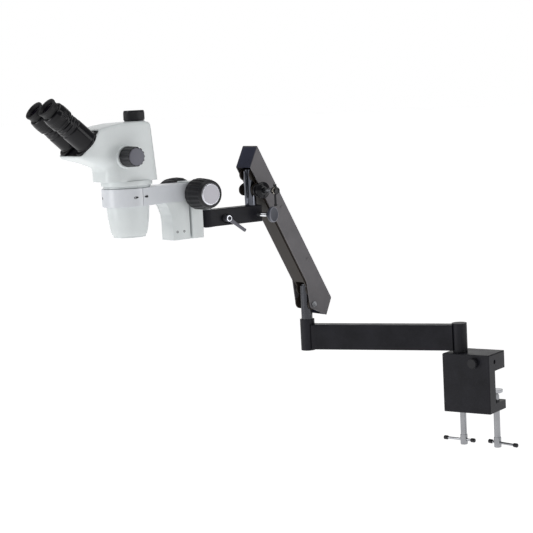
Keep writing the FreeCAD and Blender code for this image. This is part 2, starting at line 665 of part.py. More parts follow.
def link_bars(frames):
    inner = size("bar_inner")
    thick = size("bar_thickness")
    link = size("link_length")
    end = size("link_end_radius")
    slim = size("link_bar_height") / 2
    reach = inner + thick
    floor_start = size("link_floor_start")
    floor = Part.makeBox(link - size("link_floor_gap") - floor_start, 2 * reach,
                         size("link_floor"), Vector(floor_start, -reach, -slim))
    parts = [floor]
    for side in (1, -1):
        start = inner if side > 0 else -reach
        parts.append(Part.makeBox(link, thick, 2 * slim, Vector(0, start, -slim)))
        parts += [Part.makeCylinder(end, thick, Vector(x, start, 0), Vector(0, 1, 0))
                  for x in (0, link)]
    bars = parts[0].fuse(parts[1:]).cut([pin_hole(0, 0, size("pin_radius")),
                                         pin_hole(link, 0, size("pin_radius"))])
    keep(feature("bar_pair", bars.removeSplitter()), "link_bars", link_frame(frames))
    pins = [Part.makeCylinder(size("pin_radius"), 2 * reach, Vector(x, -reach, 0),
                              Vector(0, 1, 0)) for x in (0, link)]
    keep(feature("pin_pair", Part.makeCompound(pins)), "link_pins", link_frame(frames))


def gas_spring(frames):
    level = "gas_level"
    cylinder = turned("gas_tube", [
        ("gas_rod_radius + 0.1", "gas_length - 6"), ("gas_radius", "gas_length - 6"),
        ("gas_radius", "0"), ("gas_radius - 2", "0 - 2"), ("0", "0 - 2"), ("0", "2"),
        ("gas_radius - 1.5", "2"), ("gas_radius - 1.5", "gas_length - 8"),
        ("gas_rod_radius + 0.1", "gas_length - 8")])
    start = size("gas_start") + 9
    place = frame(frames["link"], x=start, z=size(level), axis=Vector(0, 1, 0), angle=90)
    keep(cylinder, "gas_cylinder", place)
    stem = turned("gas_stem", solid_profile([
        ("gas_radius - 1.7", "0", "5"), ("gas_rod_radius", "5", "gas_rod_length")]))
    eye = rod("gas_eye", "gas_rod_radius + 3", "14", ("0", "0 - 7", "gas_rod_length + 5"), "y")
    keep(fused("gas_rod_eye", [stem, eye]), "gas_rod",
         frame(place, z=size("gas_rod_start")))


def arm_lock(frames):
    """The T-handle that tightens the upper pivot, with its sliding bar."""
    cover = "cover_width / 2 + part_gap"
    screw = turned("lock_screw", solid_profile([
        ("lock_washer_radius", cover, "lock_washer_end"),
        ("lock_neck_radius", "lock_washer_end", "lock_neck_end"),
        ("lock_disc_radius - 1", "lock_neck_end", "lock_neck_end + 1"),
        ("lock_disc_radius", "lock_neck_end + 1", "lock_disc_end - 1"),
        ("lock_disc_radius - 1", "lock_disc_end - 1", "lock_disc_end"),
        ("lock_cone_radius", "lock_disc_end", "lock_disc_end + 3"),
        ("lock_shaft_radius", "lock_disc_end + 3", "lock_head_start"),
        ("lock_head_radius", "lock_head_start", "lock_head_end - 1"),
        ("lock_head_radius - 1", "lock_head_end - 1", "lock_head_end")]))
    middle = "lock_head_start / 2 + lock_head_end / 2"
    eye = rod("lock_eye", "lock_bar_radius + running_gap", "40", ("0 - 20", "0", middle), "x")
    upper = frame(frames["link"], x=size("link_length"), axis=Vector(0, 1, 0),
                  angle=size("arm_tilt") + 90)
    place = frame(upper, axis=Vector(1, 0, 0), angle=-90)
    keep(cut("lock_screw_eye", screw, [eye]), "lock_handle", place)
    bar = turned("lock_bar_body", solid_profile([
        ("lock_bar_radius + 1", "0 - lock_bar_length / 2", "4 - lock_bar_length / 2"),
        ("lock_bar_radius", "4 - lock_bar_length / 2", "lock_bar_length / 2 - 4"),
        ("lock_bar_radius + 1", "lock_bar_length / 2 - 4", "lock_bar_length / 2")]))
    keep(bar, "lock_bar", frame(place, x=-size("lock_bar_shift"), z=value(middle),
                                axis=Vector(0, 1, 0), angle=90))


def cover_screws(frames):
    """Four button screws that hold the cover on the channel."""
    cover = size("cover_width") / 2
    reach = size("channel_half_width") - size("channel_wall")
    screws = []
    for x in (0.32, 0.78):
        for side in (1, -1):
            head = Part.makeCone(3.6, 2.2, 1.4, Vector(0, 0, cover - reach))
            shank = Part.makeCylinder(1.7, cover - reach, Vector())
            screw = head.fuse(shank)
            spot = Vector(size("link_length") * x, side * reach, size("channel_height") - 7)
            screw.Placement = Placement(spot, Rotation(Vector(1, 0, 0), -90 * side))
            screws.append(screw)
    return screws


def fit_cover_screws(frames):
    screws = Part.makeCompound(cover_screws(frames))
    keep(feature("screw_set", screws), "cover_screws", frames["link"])
    for item in NODES:
        if item.Label in ("arm_cover", "arm_channel"):
            local = item.Placement.inverse()
            shape = item.Shape.copy()
            shape.Placement = local.multiply(shape.Placement)
            holes = [shape_of for shape_of in screws.Solids]
            item.Shape = shape.cut(holes)
            item.Placement = frames["link"]


# ----------------------------------------------------------------------- the short arm
def set_hole():
    """The threaded hole that runs in to the post at the set knob's heading."""
    hole = rod("set_hole", "set_screw_radius + running_gap", "30", ("0", "0", "0"), "x")
    turn = Rotation(Vector(0, 0, 1), size("set_knob_heading"))
    hole.Placement = Placement(Vector(0, 0, size("set_knob_level")),
                               turn.multiply(TURNS["x"]))
    for letter in "xyz":
        hole.setExpression("Placement.Base." + letter, None)
    return hole


def short_arm(frames):
    height = "short_arm_height"
    down = "0 - short_arm_height"
    beam = block("beam", "short_arm_length + short_arm_start", "short_arm_width", height,
                 ("0 - short_arm_start", "0 - short_arm_width / 2", down))
    beam = rounded("beam_rounded", beam, "block_round",
                   lambda edge: runs_along(edge, Vector(0, 0, 1)) or
                   runs_along(edge, Vector(1, 0, 0)))
    collar = rod("collar", "collar_radius", height, ("short_arm_length", "0", down))
    whole = fused("beam_and_collar", [beam, collar])
    tools = [
        rod("pin_bore", "mount_pin_radius + running_gap", "80",
            ("short_arm_length", "0", "0 - 60")),
        rod("post_bore_3", "swivel_post_radius + running_gap", "80", ("0", "0", "0 - 60")),
        block("slot", "slot_length + collar_radius + 1", "slot_width", "80",
              ("short_arm_length - slot_length", "0 - slot_width / 2", "0 - 60")),
        rod("lever_hole", "lever_screw_radius + running_gap", "60",
            ("lever_place", "0 - 30", "lever_level"), "y"),
        rod("lever_recess", "lever_hub_radius + 2", "10",
            ("lever_place", "short_arm_width / 2 - 3", "lever_level"), "y"),
        set_hole()]
    keep(cut("short_arm_cut", whole, tools), "short_arm", frames["short_arm"])

    lever_place = frame(frames["short_arm"], x=size("lever_place"), z=size("lever_level"))
    half = "short_arm_width / 2"
    hub = rod("lever_hub", "lever_hub_radius", "lever_hub_end - short_arm_width / 2 + 2.7",
              ("0", half + " - 2.7", "0"), "y")
    screw = rod("lever_screw", "lever_screw_radius", "short_arm_width + 2",
                ("0", "0 - short_arm_width / 2 - 2", "0"), "y")
    nut = rod("lever_nut", "lever_screw_radius + 2.5", "3",
              ("0", "0 - short_arm_width / 2 - 3.3", "0"), "y")
    stem = DOC.addObject("Part::Cone", "lever_stem")
    bound(stem, Radius1="lever_tip_radius + 1", Radius2="lever_tip_radius",
          Height="lever_length")
    lean = 180 - (90 - size("lever_drop_angle"))
    stem.Placement = Placement(Vector(0, size("lever_hub_end") - 6, 0),
                               Rotation(Vector(0, 1, 0), 180 + lean - 90)).multiply(
        Placement(Vector(), Rotation(Vector(1, 0, 0), -6)))
    lever = fused("lever_all", [hub, screw, nut, stem])
    keep(lever, "clamp_lever", lever_place)
    knob = turned("set_knob", solid_profile([
        ("set_screw_radius", "swivel_post_radius + 0.1", "set_neck_start"),
        ("set_neck_radius", "set_neck_start", "set_head_start"),
        ("set_head_radius - 1", "set_head_start", "set_head_start + 1"),
        ("set_head_radius", "set_head_start + 1", "set_head_end - 2"),
        ("set_head_radius - 1", "set_head_end - 2", "set_head_end")]))
    heading = frame(frames["short_arm"], z=size("set_knob_level"),
                    angle=size("set_knob_heading"))
    keep(knob, "swivel_knob", frame(heading, axis=Vector(0, 1, 0), angle=90))


# --------------------------------------------------------------------- the focus mount
def focus_housing(frames):
    """The fixed half: pin block, pinion housing and the guide that the column rides on."""
    half = size("housing_half_width")
    front = size("housing_front")
    back = size("housing_back")
    low = size("housing_bottom")
    tall = size("housing_top") - low
    body = Part.makeBox(front - back, 2 * half, tall, Vector(back, -half, low))
    edges = [edge for edge in body.Edges if runs_along(edge, Vector(0, 0, 1))
             and edge.CenterOfMass.x < back + 1]
    body = body.makeFillet(5, edges)
    neck = size("dovetail_neck")
    wide = size("dovetail_width")
    depth = size("dovetail_depth")
    tongue = Part.Face(Part.makePolygon([
        Vector(front, -neck, low), Vector(front + depth, -wide, low),
        Vector(front + depth, wide, low), Vector(front, neck, low), Vector(front, -neck, low)]))
    guide = tongue.extrude(Vector(0, 0, tall - 6))
    pin_x = -size("ring_reach")
    low_b = size("bracket_bottom")
    high_b = size("bracket_top")
    arm = Part.makeBox(back - pin_x + 2, 26, high_b - low_b, Vector(pin_x, -13, low_b))
    eye = Part.makeCylinder(13, high_b - low_b, Vector(pin_x, 0, low_b))
    whole = body.fuse([guide, arm, eye])
    pin = Part.makeCylinder(size("mount_pin_radius"), 60, Vector(pin_x, 0, low_b - 30))
    shaft = Part.makeCylinder(size("focus_shaft_radius") + size("running_gap"), 4 * half,
                              Vector(size("pinion_axis"), -2 * half, size("pinion_level")),
                              Vector(0, 1, 0))
    pitch = size("rack_module") * size("pinion_teeth") / 2
    room = pitch + 2.2
    pocket = Part.makeCylinder(room, 2 * size("rack_half_width") + 3,
                               Vector(size("pinion_axis"), -size("rack_half_width") - 1.5,
                                      size("pinion_level")), Vector(0, 1, 0))
    channel = size("rack_half_width") + 0.5
    groove = Part.makeBox(20, 2 * channel, tall + 10,
                          Vector(size("pinion_axis") + pitch - 1.6, -channel, low - 5))
    keep(feature("housing", whole.cut([pin, shaft, pocket, groove]).removeSplitter()),
         "focus_housing", frames["head"])
    post = turned("arm_pin", solid_profile([
        ("mount_pin_radius - 1", "pin_bottom", "pin_bottom + 1"),
        ("mount_pin_radius", "pin_bottom + 1", "bracket_top - 4")]))
    keep(post, "mount_pin", frame(frames["head"], x=pin_x))


def pinion(frames):
    """A steel shaft with the pinion's teeth cut in its middle."""
    module = size("rack_module")
    teeth = int(size("pinion_teeth"))
    pitch = module * teeth / 2
    half = size("rack_half_width")
    gear = Part.makeCylinder(pitch + module, 2 * half, Vector(0, 0, -half))
    gap_face = Part.Face(Part.makePolygon([
        Vector(pitch - 1.2 * module, -0.45 * module, -half - 1),
        Vector(pitch + 1.3 * module, -1.4 * module, -half - 1),
        Vector(pitch + 1.3 * module, 1.4 * module, -half - 1),
        Vector(pitch - 1.2 * module, 0.45 * module, -half - 1),
        Vector(pitch - 1.2 * module, -0.45 * module, -half - 1)]))
    gap = gap_face.extrude(Vector(0, 0, 2 * half + 2))
    gaps = []
    for number in range(teeth):
        copy = gap.copy()
        copy.rotate(Vector(), Vector(0, 0, 1), 360.0 * number / teeth)
        gaps.append(copy)
    reach = size("focus_knob_end") - 8
    shaft = Part.makeCylinder(size("focus_shaft_radius"), 2 * reach, Vector(0, 0, -reach))
    toothed = gear.cut(gaps).fuse(shaft).removeSplitter()
    keep(feature("pinion_body", toothed), "pinion_shaft", knob_axis(frames))


def knob_axis(frames):
    """The focus shaft's frame: Z along the shaft, towards the user's right."""
    return frame(frames["head"], size("pinion_axis"), 0, size("pinion_level"),
                 Vector(1, 0, 0), -90)


def focus_knobs(frames):
    for side, turn in (("right", 0), ("left", 180)):
        name = "focus_" + side
        knob = turned(name, [
            ("focus_shaft_radius", "focus_knob_start"),
            ("focus_knob_radius - 4", "focus_knob_start"),
            ("focus_knob_radius", "focus_knob_start + 4"),
            ("focus_knob_radius", "focus_knob_end - 8"),
            ("focus_face_radius + 1", "focus_knob_end"),
            ("focus_disc_radius + 0.1", "focus_knob_end"),
            ("focus_disc_radius + 0.1", "focus_knob_end - 3"),
            ("focus_shaft_radius", "focus_knob_end - 3")])
        start = size("focus_knob_start")
        end = size("focus_knob_end")
        knob = fluted(name + "_grip", knob, int(size("flutes")),
                      size("focus_knob_radius") + 0.6, 1.6, start - 1, end + 1)
        keep(knob, "focus_knob_" + side, frame(knob_axis(frames), axis=Vector(1, 0, 0),
                                               angle=turn))
    discs = [disc_solid(size("focus_disc_radius"), size("focus_knob_end"), side)
             for side in (1, -1)]
    keep(feature("focus_discs", Part.makeCompound(discs)), "focus_knob_discs",
         knob_axis(frames))


def disc_solid(radius, face, side):
    """A bevelled trim disc let into a knob's face, 3 mm deep."""
    flat = Part.makeCylinder(radius, 2, Vector(0, 0, face - 3))
    bevel = Part.makeCone(radius, radius - 1.5, 1.2, Vector(0, 0, face - 1))
    disc = flat.fuse(bevel).removeSplitter()
    if side < 0:
        disc.rotate(Vector(), Vector(1, 0, 0), 180)
    return disc


def focus_column(frames):
    """The moving half: column, curved web and the socket for the dovetail guide."""
    half = size("column_half_width")
    front = size("column_front")
    back = size("column_back")
    low = size("column_bottom")
    ring_low = -size("ring_height")
    web_x = size("web_front")
    web_z = size("web_drop")
    bend = at(front + 2.2, (ring_low + web_z) / 2 - 4)
    side = [Part.LineSegment(at(back, low), at(front, low)).toShape(),
            Part.LineSegment(at(front, low), at(front, web_z)).toShape(),
            Part.Arc(at(front, web_z), bend, at(web_x, ring_low)).toShape(),
            Part.LineSegment(at(web_x, ring_low), at(back, ring_low)).toShape(),
            Part.LineSegment(at(back, ring_low), at(back, low)).toShape()]
    face = Part.Face(Part.Wire(side))
    face.translate(Vector(0, -half, 0))
    column = face.extrude(Vector(0, 2 * half, 0))
    holes = [Part.makeCylinder(1.6, 8, Vector(x, half - 6, low + 15), Vector(0, 1, 0))
             for x in column_screw_places()]
    keep(feature("column", column.cut(guide_room() + holes).removeSplitter()),
         "focus_column", frames["head"])


def guide_room():
    """The dovetail socket and the rack's groove, cut right through the moving half."""
    gap = 0.15
    low = size("housing_bottom") - 5
    tall = size("housing_top") - low + 20
    neck = size("dovetail_neck") + gap
    wide = size("dovetail_width") + gap
    entry = size("housing_front")
    depth = size("dovetail_depth") + gap
    start = size("column_back") - 1
    narrow = neck + (wide - neck) / depth * (start - entry)
    corners = [Vector(start, -narrow, low), Vector(entry + depth, -wide, low),
               Vector(entry + depth, wide, low), Vector(start, narrow, low)]
    socket = Part.Face(Part.makePolygon(corners + corners[:1]))
    slot = size("rack_half_width") + 0.05
    rack_room = Part.makeBox(9, 2 * slot, tall, Vector(entry + depth - 4, -slot, low))
    return [socket.extrude(Vector(0, 0, tall)), rack_room]


def column_screw_places():
    return [size("column_front") - 9, size("column_front") - 23.5]


def rack(frames):
    """A straight brass rack that faces the pinion."""
    module = size("rack_module")
    pitch_line = size("pinion_axis") + module * size("pinion_teeth") / 2
    half = size("rack_half_width")
    step = math.pi * module
    low = size("column_bottom") + 6
    count = int((-size("ring_height") - low) / step)
    middle = size("pinion_level")
    first = middle - step * int((middle - low) / step)
    bottom = first - step / 2
    top = -size("ring_height") - 0.3
    back = size("housing_front") + size("dovetail_depth") + 4
    bar = Part.makeBox(back - (pitch_line + 1.25 * module), 2 * half, top - bottom,
                       Vector(pitch_line + 1.25 * module, -half, bottom))
    teeth = []
    for number in range(count + 1):
        z = first + step * number
        if z + step / 2 > top:
            break
        face = Part.Face(Part.makePolygon([
            Vector(pitch_line + 1.3 * module, -half, z - 0.78 * module - 0.2),
            Vector(pitch_line - 0.8 * module, -half, z - 0.3 * module),
            Vector(pitch_line - 0.8 * module, -half, z + 0.3 * module),
            Vector(pitch_line + 1.3 * module, -half, z + 0.78 * module + 0.2),
            Vector(pitch_line + 1.3 * module, -half, z - 0.78 * module - 0.2)]))
        teeth.append(face.extrude(Vector(0, 2 * half, 0)))
    keep(feature("rack_bar", bar.fuse(teeth).removeSplitter()), "focus_rack", frames["head"])


def ring_arm(frames):
    """The back half of the head ring with the bar that joins it to the column."""
    tall = size("ring_height")
    split = size("ring_split")
    half = size("arm_half_width")
    outer = Part.makeCylinder(size("ring_radius"), tall, Vector(0, 0, -tall))
    bore = Part.makeCylinder(size("barrel_radius") + size("running_gap"), tall + 2,
                             Vector(0, 0, -tall - 1))
    back = size("column_back")
    side = math.sqrt(size("ring_radius") ** 2 - split ** 2)
    outline = [(split, -side), (size("arm_taper_end"), -half), (back, -half), (back, half),
               (size("arm_taper_end"), half), (split, side)]
    corners = [Vector(x, y, 0) for x, y in outline]
    bar = Part.Face(Part.makePolygon(corners + corners[:1])).extrude(Vector(0, 0, -tall))
    whole = bar.cut(bore)
    holes = ring_screw_tools()
    keep(feature("ring_back", whole.cut(holes + guide_room()).removeSplitter()), "ring_arm",
         frames["head"])
    front_half = Part.makeBox(200, 200, 100, Vector(split + size("split_gap"), -100, -60))
    front = outer.common(front_half).cut(bore).cut(holes)
    keep(feature("ring_half", front.removeSplitter()), "ring_front", frames["head"])


def ring_screw_places():
    """Each screw: distance along the ring's wall from the split, and its level."""
    radius = (size("ring_radius") + size("barrel_radius")) / 2
    return [(side * radius, -size("ring_height") / 2 + 0.5) for side in (1, -1)]


def ring_screw_tools():
    split = size("ring_split")
    tools = [Part.makeCylinder(2.0, 30, Vector(split - 12, y, z), Vector(1, 0, 0))
             for y, z in ring_screw_places()]
    tools += [Part.makeCylinder(3.4, 30, Vector(split + 10, y, z), Vector(1, 0, 0))
              for y, z in ring_screw_places()]
    tools.append(set_screw(0.05))
    return tools


def set_screw(gap=0.0):
    """The small screw through the ring's front that stops the head turning."""
    level = -size("ring_height") / 2
    angle = math.radians(-15)
    out = Vector(math.cos(angle), math.sin(angle), 0)
    inner = size("barrel_radius") + 0.3 - 2 * gap
    return Part.makeCylinder(2.0 + gap, size("ring_radius") - inner - 1.0 + 6 * gap,
                             out * inner + Vector(0, 0, level), out)


def mount_screws(frames):
    """Ring screws, head set screw and the two stop screws low on the column."""
    split = size("ring_split")
    screws = []
    for y, z in ring_screw_places():
        shank = Part.makeCylinder(2.0, 20, Vector(split - 11, y, z), Vector(1, 0, 0))
        head = Part.makeCylinder(3.3, 4, Vector(split + 10, y, z), Vector(1, 0, 0))
        hexagon = Part.makeCylinder(1.5, 3, Vector(split + 12, y, z), Vector(1, 0, 0))
        screws.append(shank.fuse(head).cut(hexagon).removeSplitter())
    screws.append(set_screw())
    half = size("column_half_width")
    low = size("column_bottom")
    for x in column_screw_places():
        screws.append(Part.makeCylinder(1.6, 5.2, Vector(x, half - 6, low + 15),
                                        Vector(0, 1, 0)))
    keep(feature("screws", Part.makeCompound(screws)), "mount_screws", frames["head"])


# ------------------------------------------------------------------------------ the head
def head_profile(inset):
    """The head's side outline at a given inset, with a curved roof and back."""
    back = size("shell_back") + inset
    back_top = size("shell_back_top") + inset
    low = size("shell_bottom") + inset
    high = size("shell_top") - inset
    slant = inset * math.sqrt(2)
    tilt = math.radians(size("eye_angle"))
    normal = at(math.sin(tilt), math.cos(tilt))
    down = at(math.cos(tilt), -math.sin(tilt)) * size("plate_half_length")
    centre = at(size("plate_centre_x"), size("plate_centre_z")) - normal * inset
    plate_top = centre - down
    plate_foot = centre + down
    lip = at(plate_foot.x - 2 - 0.5 * slant, size("lip_z") + inset)
    throat = at(size("throat_x") - 0.3 * inset, size("throat_z") + inset)
    neck = at(size("neck_front_x") - inset, size("shell_bottom") + inset + 8)
    neck_low = at(size("neck_front_x") - 8 - inset, low)
    roof_front = at(size("roof_front_x"), high)
    shoulder = at((size("roof_front_x") + plate_top.x) / 2, (high + plate_top.z) / 2 + 1.6)
    corners = [at(back, low), neck_low, neck, throat, lip, plate_foot, plate_top]
    edges = [Part.LineSegment(a, b).toShape() for a, b in zip(corners, corners[1:])]
    edges.append(Part.Arc(plate_top, shoulder, roof_front).toShape())
    edges.append(Part.LineSegment(roof_front, at(back_top + 6, high)).toShape())
    edges.append(Part.LineSegment(at(back_top + 6, high), at(back_top, high - 6)).toShape())
    edges.append(Part.LineSegment(at(back_top, high - 6), at(back, low)).toShape())
    return edges


def head_solid(inset):
    half = size("shell_half_width") - inset
    face = Part.Face(Part.Wire(head_profile(inset)))
    face.translate(Vector(0, -half, 0))
    block_shape = face.extrude(Vector(0, 2 * half, 0))
    back = size("shell_back") + inset
    corner = 14 - inset
    plan = Part.makeBox(300, 2 * half, 200, Vector(back, -half, -20))
    edges = [edge for edge in plan.Edges if runs_along(edge, Vector(0, 0, 1))
             and edge.CenterOfMass.x < back + 1]
    plan = plan.makeFillet(corner, edges)
    return block_shape.common(plan)


def head_shell(frames):
    shell = head_solid(0).cut(head_solid(size("shell_wall")))
    eyes = Placement(Vector(size("eye_x"), 0, size("eye_z")),
                     Rotation(Vector(0, 1, 0), size("eye_angle")))
    up = size("face_up")
    down = size("face_down")
    wide = size("face_half_width")
    mouth = Part.makeBox(up + down, 2 * wide, 30, Vector(-up, -wide, -18))
    mouth = mouth.makeFillet(8, [e for e in mouth.Edges if runs_along(e, Vector(0, 0, 1))])
    mouth.Placement = eyes
    neck = Part.makeCylinder(30, 40, Vector(0, 0, -5))
    zoom = Part.makeCylinder(size("zoom_shaft_radius") + size("running_gap"), 200,
                             Vector(size("zoom_x"), -100, size("zoom_z")), Vector(0, 1, 0))
    port = Part.makeCylinder(size("port_radius"), 40,
                             Vector(size("port_x"), 0, size("shell_top") - 20))
    keep(feature("shell", shell.cut([mouth, neck, zoom, port]).removeSplitter()),
         "head_shell", frames["head"])

    plate_thick = size("face_thickness")
    wide_in = wide - 0.1
    front = Part.makeBox(up + down - 0.2, 2 * wide_in, plate_thick,
                         Vector(0.1 - up, -wide_in, -plate_thick - 1))
    front = front.makeFillet(7.9, [e for e in front.Edges if runs_along(e, Vector(0, 0, 1))])
    swing = size("swing_offset")
    half_eye = size("eye_spacing") / 2
    holes = [Part.makeCylinder(size("spigot_radius") + 0.3, 20,
                               Vector(swing, side * half_eye, -12)) for side in (1, -1)]
    keep(feature("face", front.cut(holes)), "face_plate", frames["eyes"])


def barrel(frames):
    """Mounting flange, 76 mm barrel and the tapered lower body with its lip."""
    lower = turned("barrel_body", [
        ("barrel_radius - 6", "flange_top"), ("flange_radius", "flange_top"),
        ("flange_radius", "flange_bottom + 3"), ("barrel_radius + 3", "flange_bottom + 2"),
        ("barrel_radius + 3", "part_gap"), ("barrel_radius", "part_gap"),
        ("barrel_radius", "0 - ring_height - 22"), ("barrel_foot_radius + 1", "barrel_bottom + 4"),
        ("barrel_foot_radius - 1", "barrel_bottom"), ("lip_radius", "barrel_bottom"),
        ("lip_radius", "lip_bottom"), ("lip_radius - 2.5", "lip_bottom"),
        ("lip_radius - 2.5", "barrel_bottom + 6"), ("barrel_radius - 6", "0 - ring_height - 22")])
    keep(lower, "lower_barrel", frames["head"])
    lens = turned("objective", [
        ("0", "lip_bottom + 3"), ("objective_radius - 6", "lip_bottom + 3.4"),
        ("objective_radius", "lip_bottom + 5"),
        ("objective_radius", "lip_bottom + 5 + objective_thickness"),
        ("0", "lip_bottom + 5 + objective_thickness")])
    keep(lens, "objective_lens", frames["head"])
    prism = block("prism", "prism_size", "prism_size + 20", "prism_size",
                  ("port_x + 8", "0 - prism_size / 2 - 10", "zoom_z + 8"))
    chamfer = rod("prism_relief", "6", "2 * prism_size + 60",
                  ("port_x + 8 + prism_size", "0 - prism_size - 30", "zoom_z + 8"), "y")
    keep(cut("prism_cut", prism, [chamfer]), "beam_splitter", frames["head"])


def zoom_axis(frames):
    return frame(frames["head"], size("zoom_x"), 0, size("zoom_z"), Vector(1, 0, 0), -90)


def zoom(frames):
    place = zoom_axis(frames)
    shaft = turned("zoom_rod", solid_profile([
        ("zoom_shaft_radius", "0 - zoom_knob_end + 8", "0 - 18"),
        ("11", "0 - 18", "0 - 12"), ("6", "0 - 12", "12"), ("11", "12", "18"),
        ("zoom_shaft_radius", "18", "zoom_knob_end - 8")]))
    keep(shaft, "zoom_shaft", place)
    start = size("zoom_knob_start")
    end = size("zoom_knob_end")
    for side, turn in (("right", 0), ("left", 180)):
        name = "zoom_" + side
        knob = turned(name, [
            ("zoom_shaft_radius", "zoom_knob_start"), ("zoom_base_radius", "zoom_knob_start"),
            ("zoom_base_radius", "zoom_knob_start + 3"),
            ("zoom_face_radius", "zoom_knob_end - 2"),
            ("zoom_face_radius - 2", "zoom_knob_end"),
            ("zoom_disc_radius + 0.1", "zoom_knob_end"),
            ("zoom_disc_radius + 0.1", "zoom_knob_end - 3"),
            ("zoom_shaft_radius", "zoom_knob_end - 3")])
        knob = fluted(name + "_grip", knob, int(size("zoom_flutes")),
                      size("zoom_face_radius") + 2.6, 3.2, start + 4, end + 1)
        keep(knob, "zoom_knob_" + side, frame(place, axis=Vector(1, 0, 0), angle=turn))
    discs = [disc_solid(size("zoom_disc_radius"), size("zoom_knob_end"), side)
             for side in (1, -1)]
    keep(feature("zoom_discs", Part.makeCompound(discs)), "zoom_knob_discs", place)


def photo_port(frames):
    place = frame(frames["head"], x=size("port_x"))
    tube = turned("port_tube", [
        ("port_radius - 3", "shell_top - 12"), ("port_radius - 0.05", "shell_top - 12"),
        ("port_radius - 0.05", "port_top"), ("port_radius - 3", "port_top")])
    keep(tube, "photo_tube", place)
    cap = turned("port_cap", [
        ("port_radius + 0.2", "cap_bottom"), ("cap_radius - 0.6", "cap_bottom"),
        ("cap_radius", "cap_bottom + 0.6"), ("cap_radius", "cap_top - 1.5"),
        ("cap_radius - 1.5", "cap_top"), ("0", "cap_top"), ("0", "cap_top - 3"),
        ("port_radius + 0.2", "cap_top - 3")])
    cap = fluted("port_cap_grip", cap, 36, size("cap_radius") + 0.5, 0.9,
                 size("cap_bottom") + 1, size("cap_top") - 2)
    keep(cap, "photo_cap", place)


def eyepieces(frames):
    for side, sign in (("right", 1), ("left", -1)):
        extra = size("right_tube_extra") if sign > 0 else 0.0
        place = frame(frames["eyes"], y=sign * size("eye_spacing") / 2)
        eye_tube(side, place, extra)
        eyepiece(side, frame(place, z=extra))


def eye_tube(side, place, extra):
    """The tube on its teardrop base, which turns about a spigot in the face plate."""
    gap = size("part_gap")
    swing = size("swing_offset")
    tall = size("swing_height")
    radius = size("eye_tube_radius")
    big = radius + 0.8
    small = size("swing_radius")
    end = size("eye_tube_end") + extra
    base = Part.makeCylinder(small, tall, Vector(swing, 0, gap))
    skirt = Part.makeCylinder(big, tall, Vector(0, 0, gap))
    tube = Part.makeCylinder(radius, end - gap, Vector(0, 0, gap))
    spigot = Part.makeCylinder(size("spigot_radius"), 8, Vector(swing, 0, -7))
    flank = math.asin((big - small) / swing)
    along = math.sin(flank)
    out = math.cos(flank)
    corners = [Vector(big * along, big * out, gap),
               Vector(swing + small * along, small * out, gap),
               Vector(swing + small * along, -small * out, gap),
               Vector(big * along, -big * out, gap)]
    web = Part.Face(Part.makePolygon(corners + corners[:1])).extrude(Vector(0, 0, tall))
    bore = Part.makeCylinder(size("eye_bore_radius"), end, Vector(0, 0, 5))
    light = Part.makeCylinder(9, 12, Vector(swing, 0, -10))
    light_top = Part.makeCylinder(9, 10, Vector(0, 0, 1.5))
    body = base.fuse([skirt, tube, spigot, web]).cut([bore, light, light_top])
    keep(feature("housing_" + side, body.removeSplitter()), "eye_tube_" + side, place)


def eyepiece(side, place):
    """Diopter ring, eyepiece, its lens and the rubber eyecup, all on the tube's axis."""
    ring = turned("ring_" + side, [
        ("eyepiece_barrel_radius + 0.05", "diopter_start"),
        ("diopter_radius - 0.5", "diopter_start"), ("diopter_radius", "diopter_start + 0.8"),
        ("diopter_radius", "diopter_end - 6"), ("diopter_radius - 0.8", "diopter_end - 5.4"),
        ("diopter_radius - 0.8", "diopter_end"), ("eyepiece_barrel_radius + 0.05", "diopter_end")])
    keep(fluted("ring_grip_" + side, ring, 48, size("diopter_radius") + 0.35, 0.6,
                size("diopter_start") + 1, size("diopter_end") - 6), "diopter_ring_" + side, place)
    body = turned("ocular_" + side, [
        ("eyepiece_barrel_radius - 2", "eyepiece_barrel_start"),
        ("eyepiece_barrel_radius", "eyepiece_barrel_start"),
        ("eyepiece_barrel_radius", "diopter_end + 0.5"),
        ("eyepiece_radius - 2.5", "diopter_end + 0.5"),
        ("eyepiece_radius - 0.4", "diopter_end + 4"), ("eyepiece_radius - 0.4", "diopter_end + 8"),
        ("eyepiece_radius", "diopter_end + 10"), ("eyepiece_radius", "eyepiece_end - 7"),
        ("eyepiece_radius - 2", "eyepiece_end"), ("eyepiece_neck_radius", "eyepiece_end"),
        ("eyepiece_neck_radius", "eyepiece_top"), ("eye_lens_radius", "eyepiece_top"),
        ("eye_lens_radius", "diopter_end + 4"), ("eyepiece_barrel_radius - 2", "diopter_end")])
    keep(fluted("ocular_grip_" + side, body, 36, size("eyepiece_radius") + 0.45, 0.8,
                size("diopter_end") + 11, size("eyepiece_end") - 8), "eyepiece_" + side, place)
    lens = turned("lens_" + side, [
        ("0", "eyepiece_top - 2.5 - eye_lens_thickness"),
        ("eye_lens_radius", "eyepiece_top - 2.5 - eye_lens_thickness"),
        ("eye_lens_radius", "eyepiece_top - 3"), ("eye_lens_radius - 6", "eyepiece_top - 1.2"),
        ("0", "eyepiece_top - 0.8")])
    keep(lens, "eye_lens_" + side, place)
    cup = turned("cup_" + side, [
        ("eyepiece_neck_radius + 0.1", "eyecup_start"), ("eyecup_waist + 0.4", "eyecup_start"),
        ("eyecup_waist", "eyecup_start + 4"), ("eyecup_rim_radius", "eyecup_end - 4"),
        ("eyecup_rim_radius", "eyecup_end - 1.5"), ("eyecup_rim_radius - 1.2", "eyecup_end"),
        ("eyecup_rim_radius - 3", "eyecup_end - 1"), ("eyecup_waist - 3.5", "eyepiece_top + 1"),
        ("eyepiece_neck_radius + 0.1", "eyepiece_top + 1")])
    keep(cup, "eyecup_" + side, place)


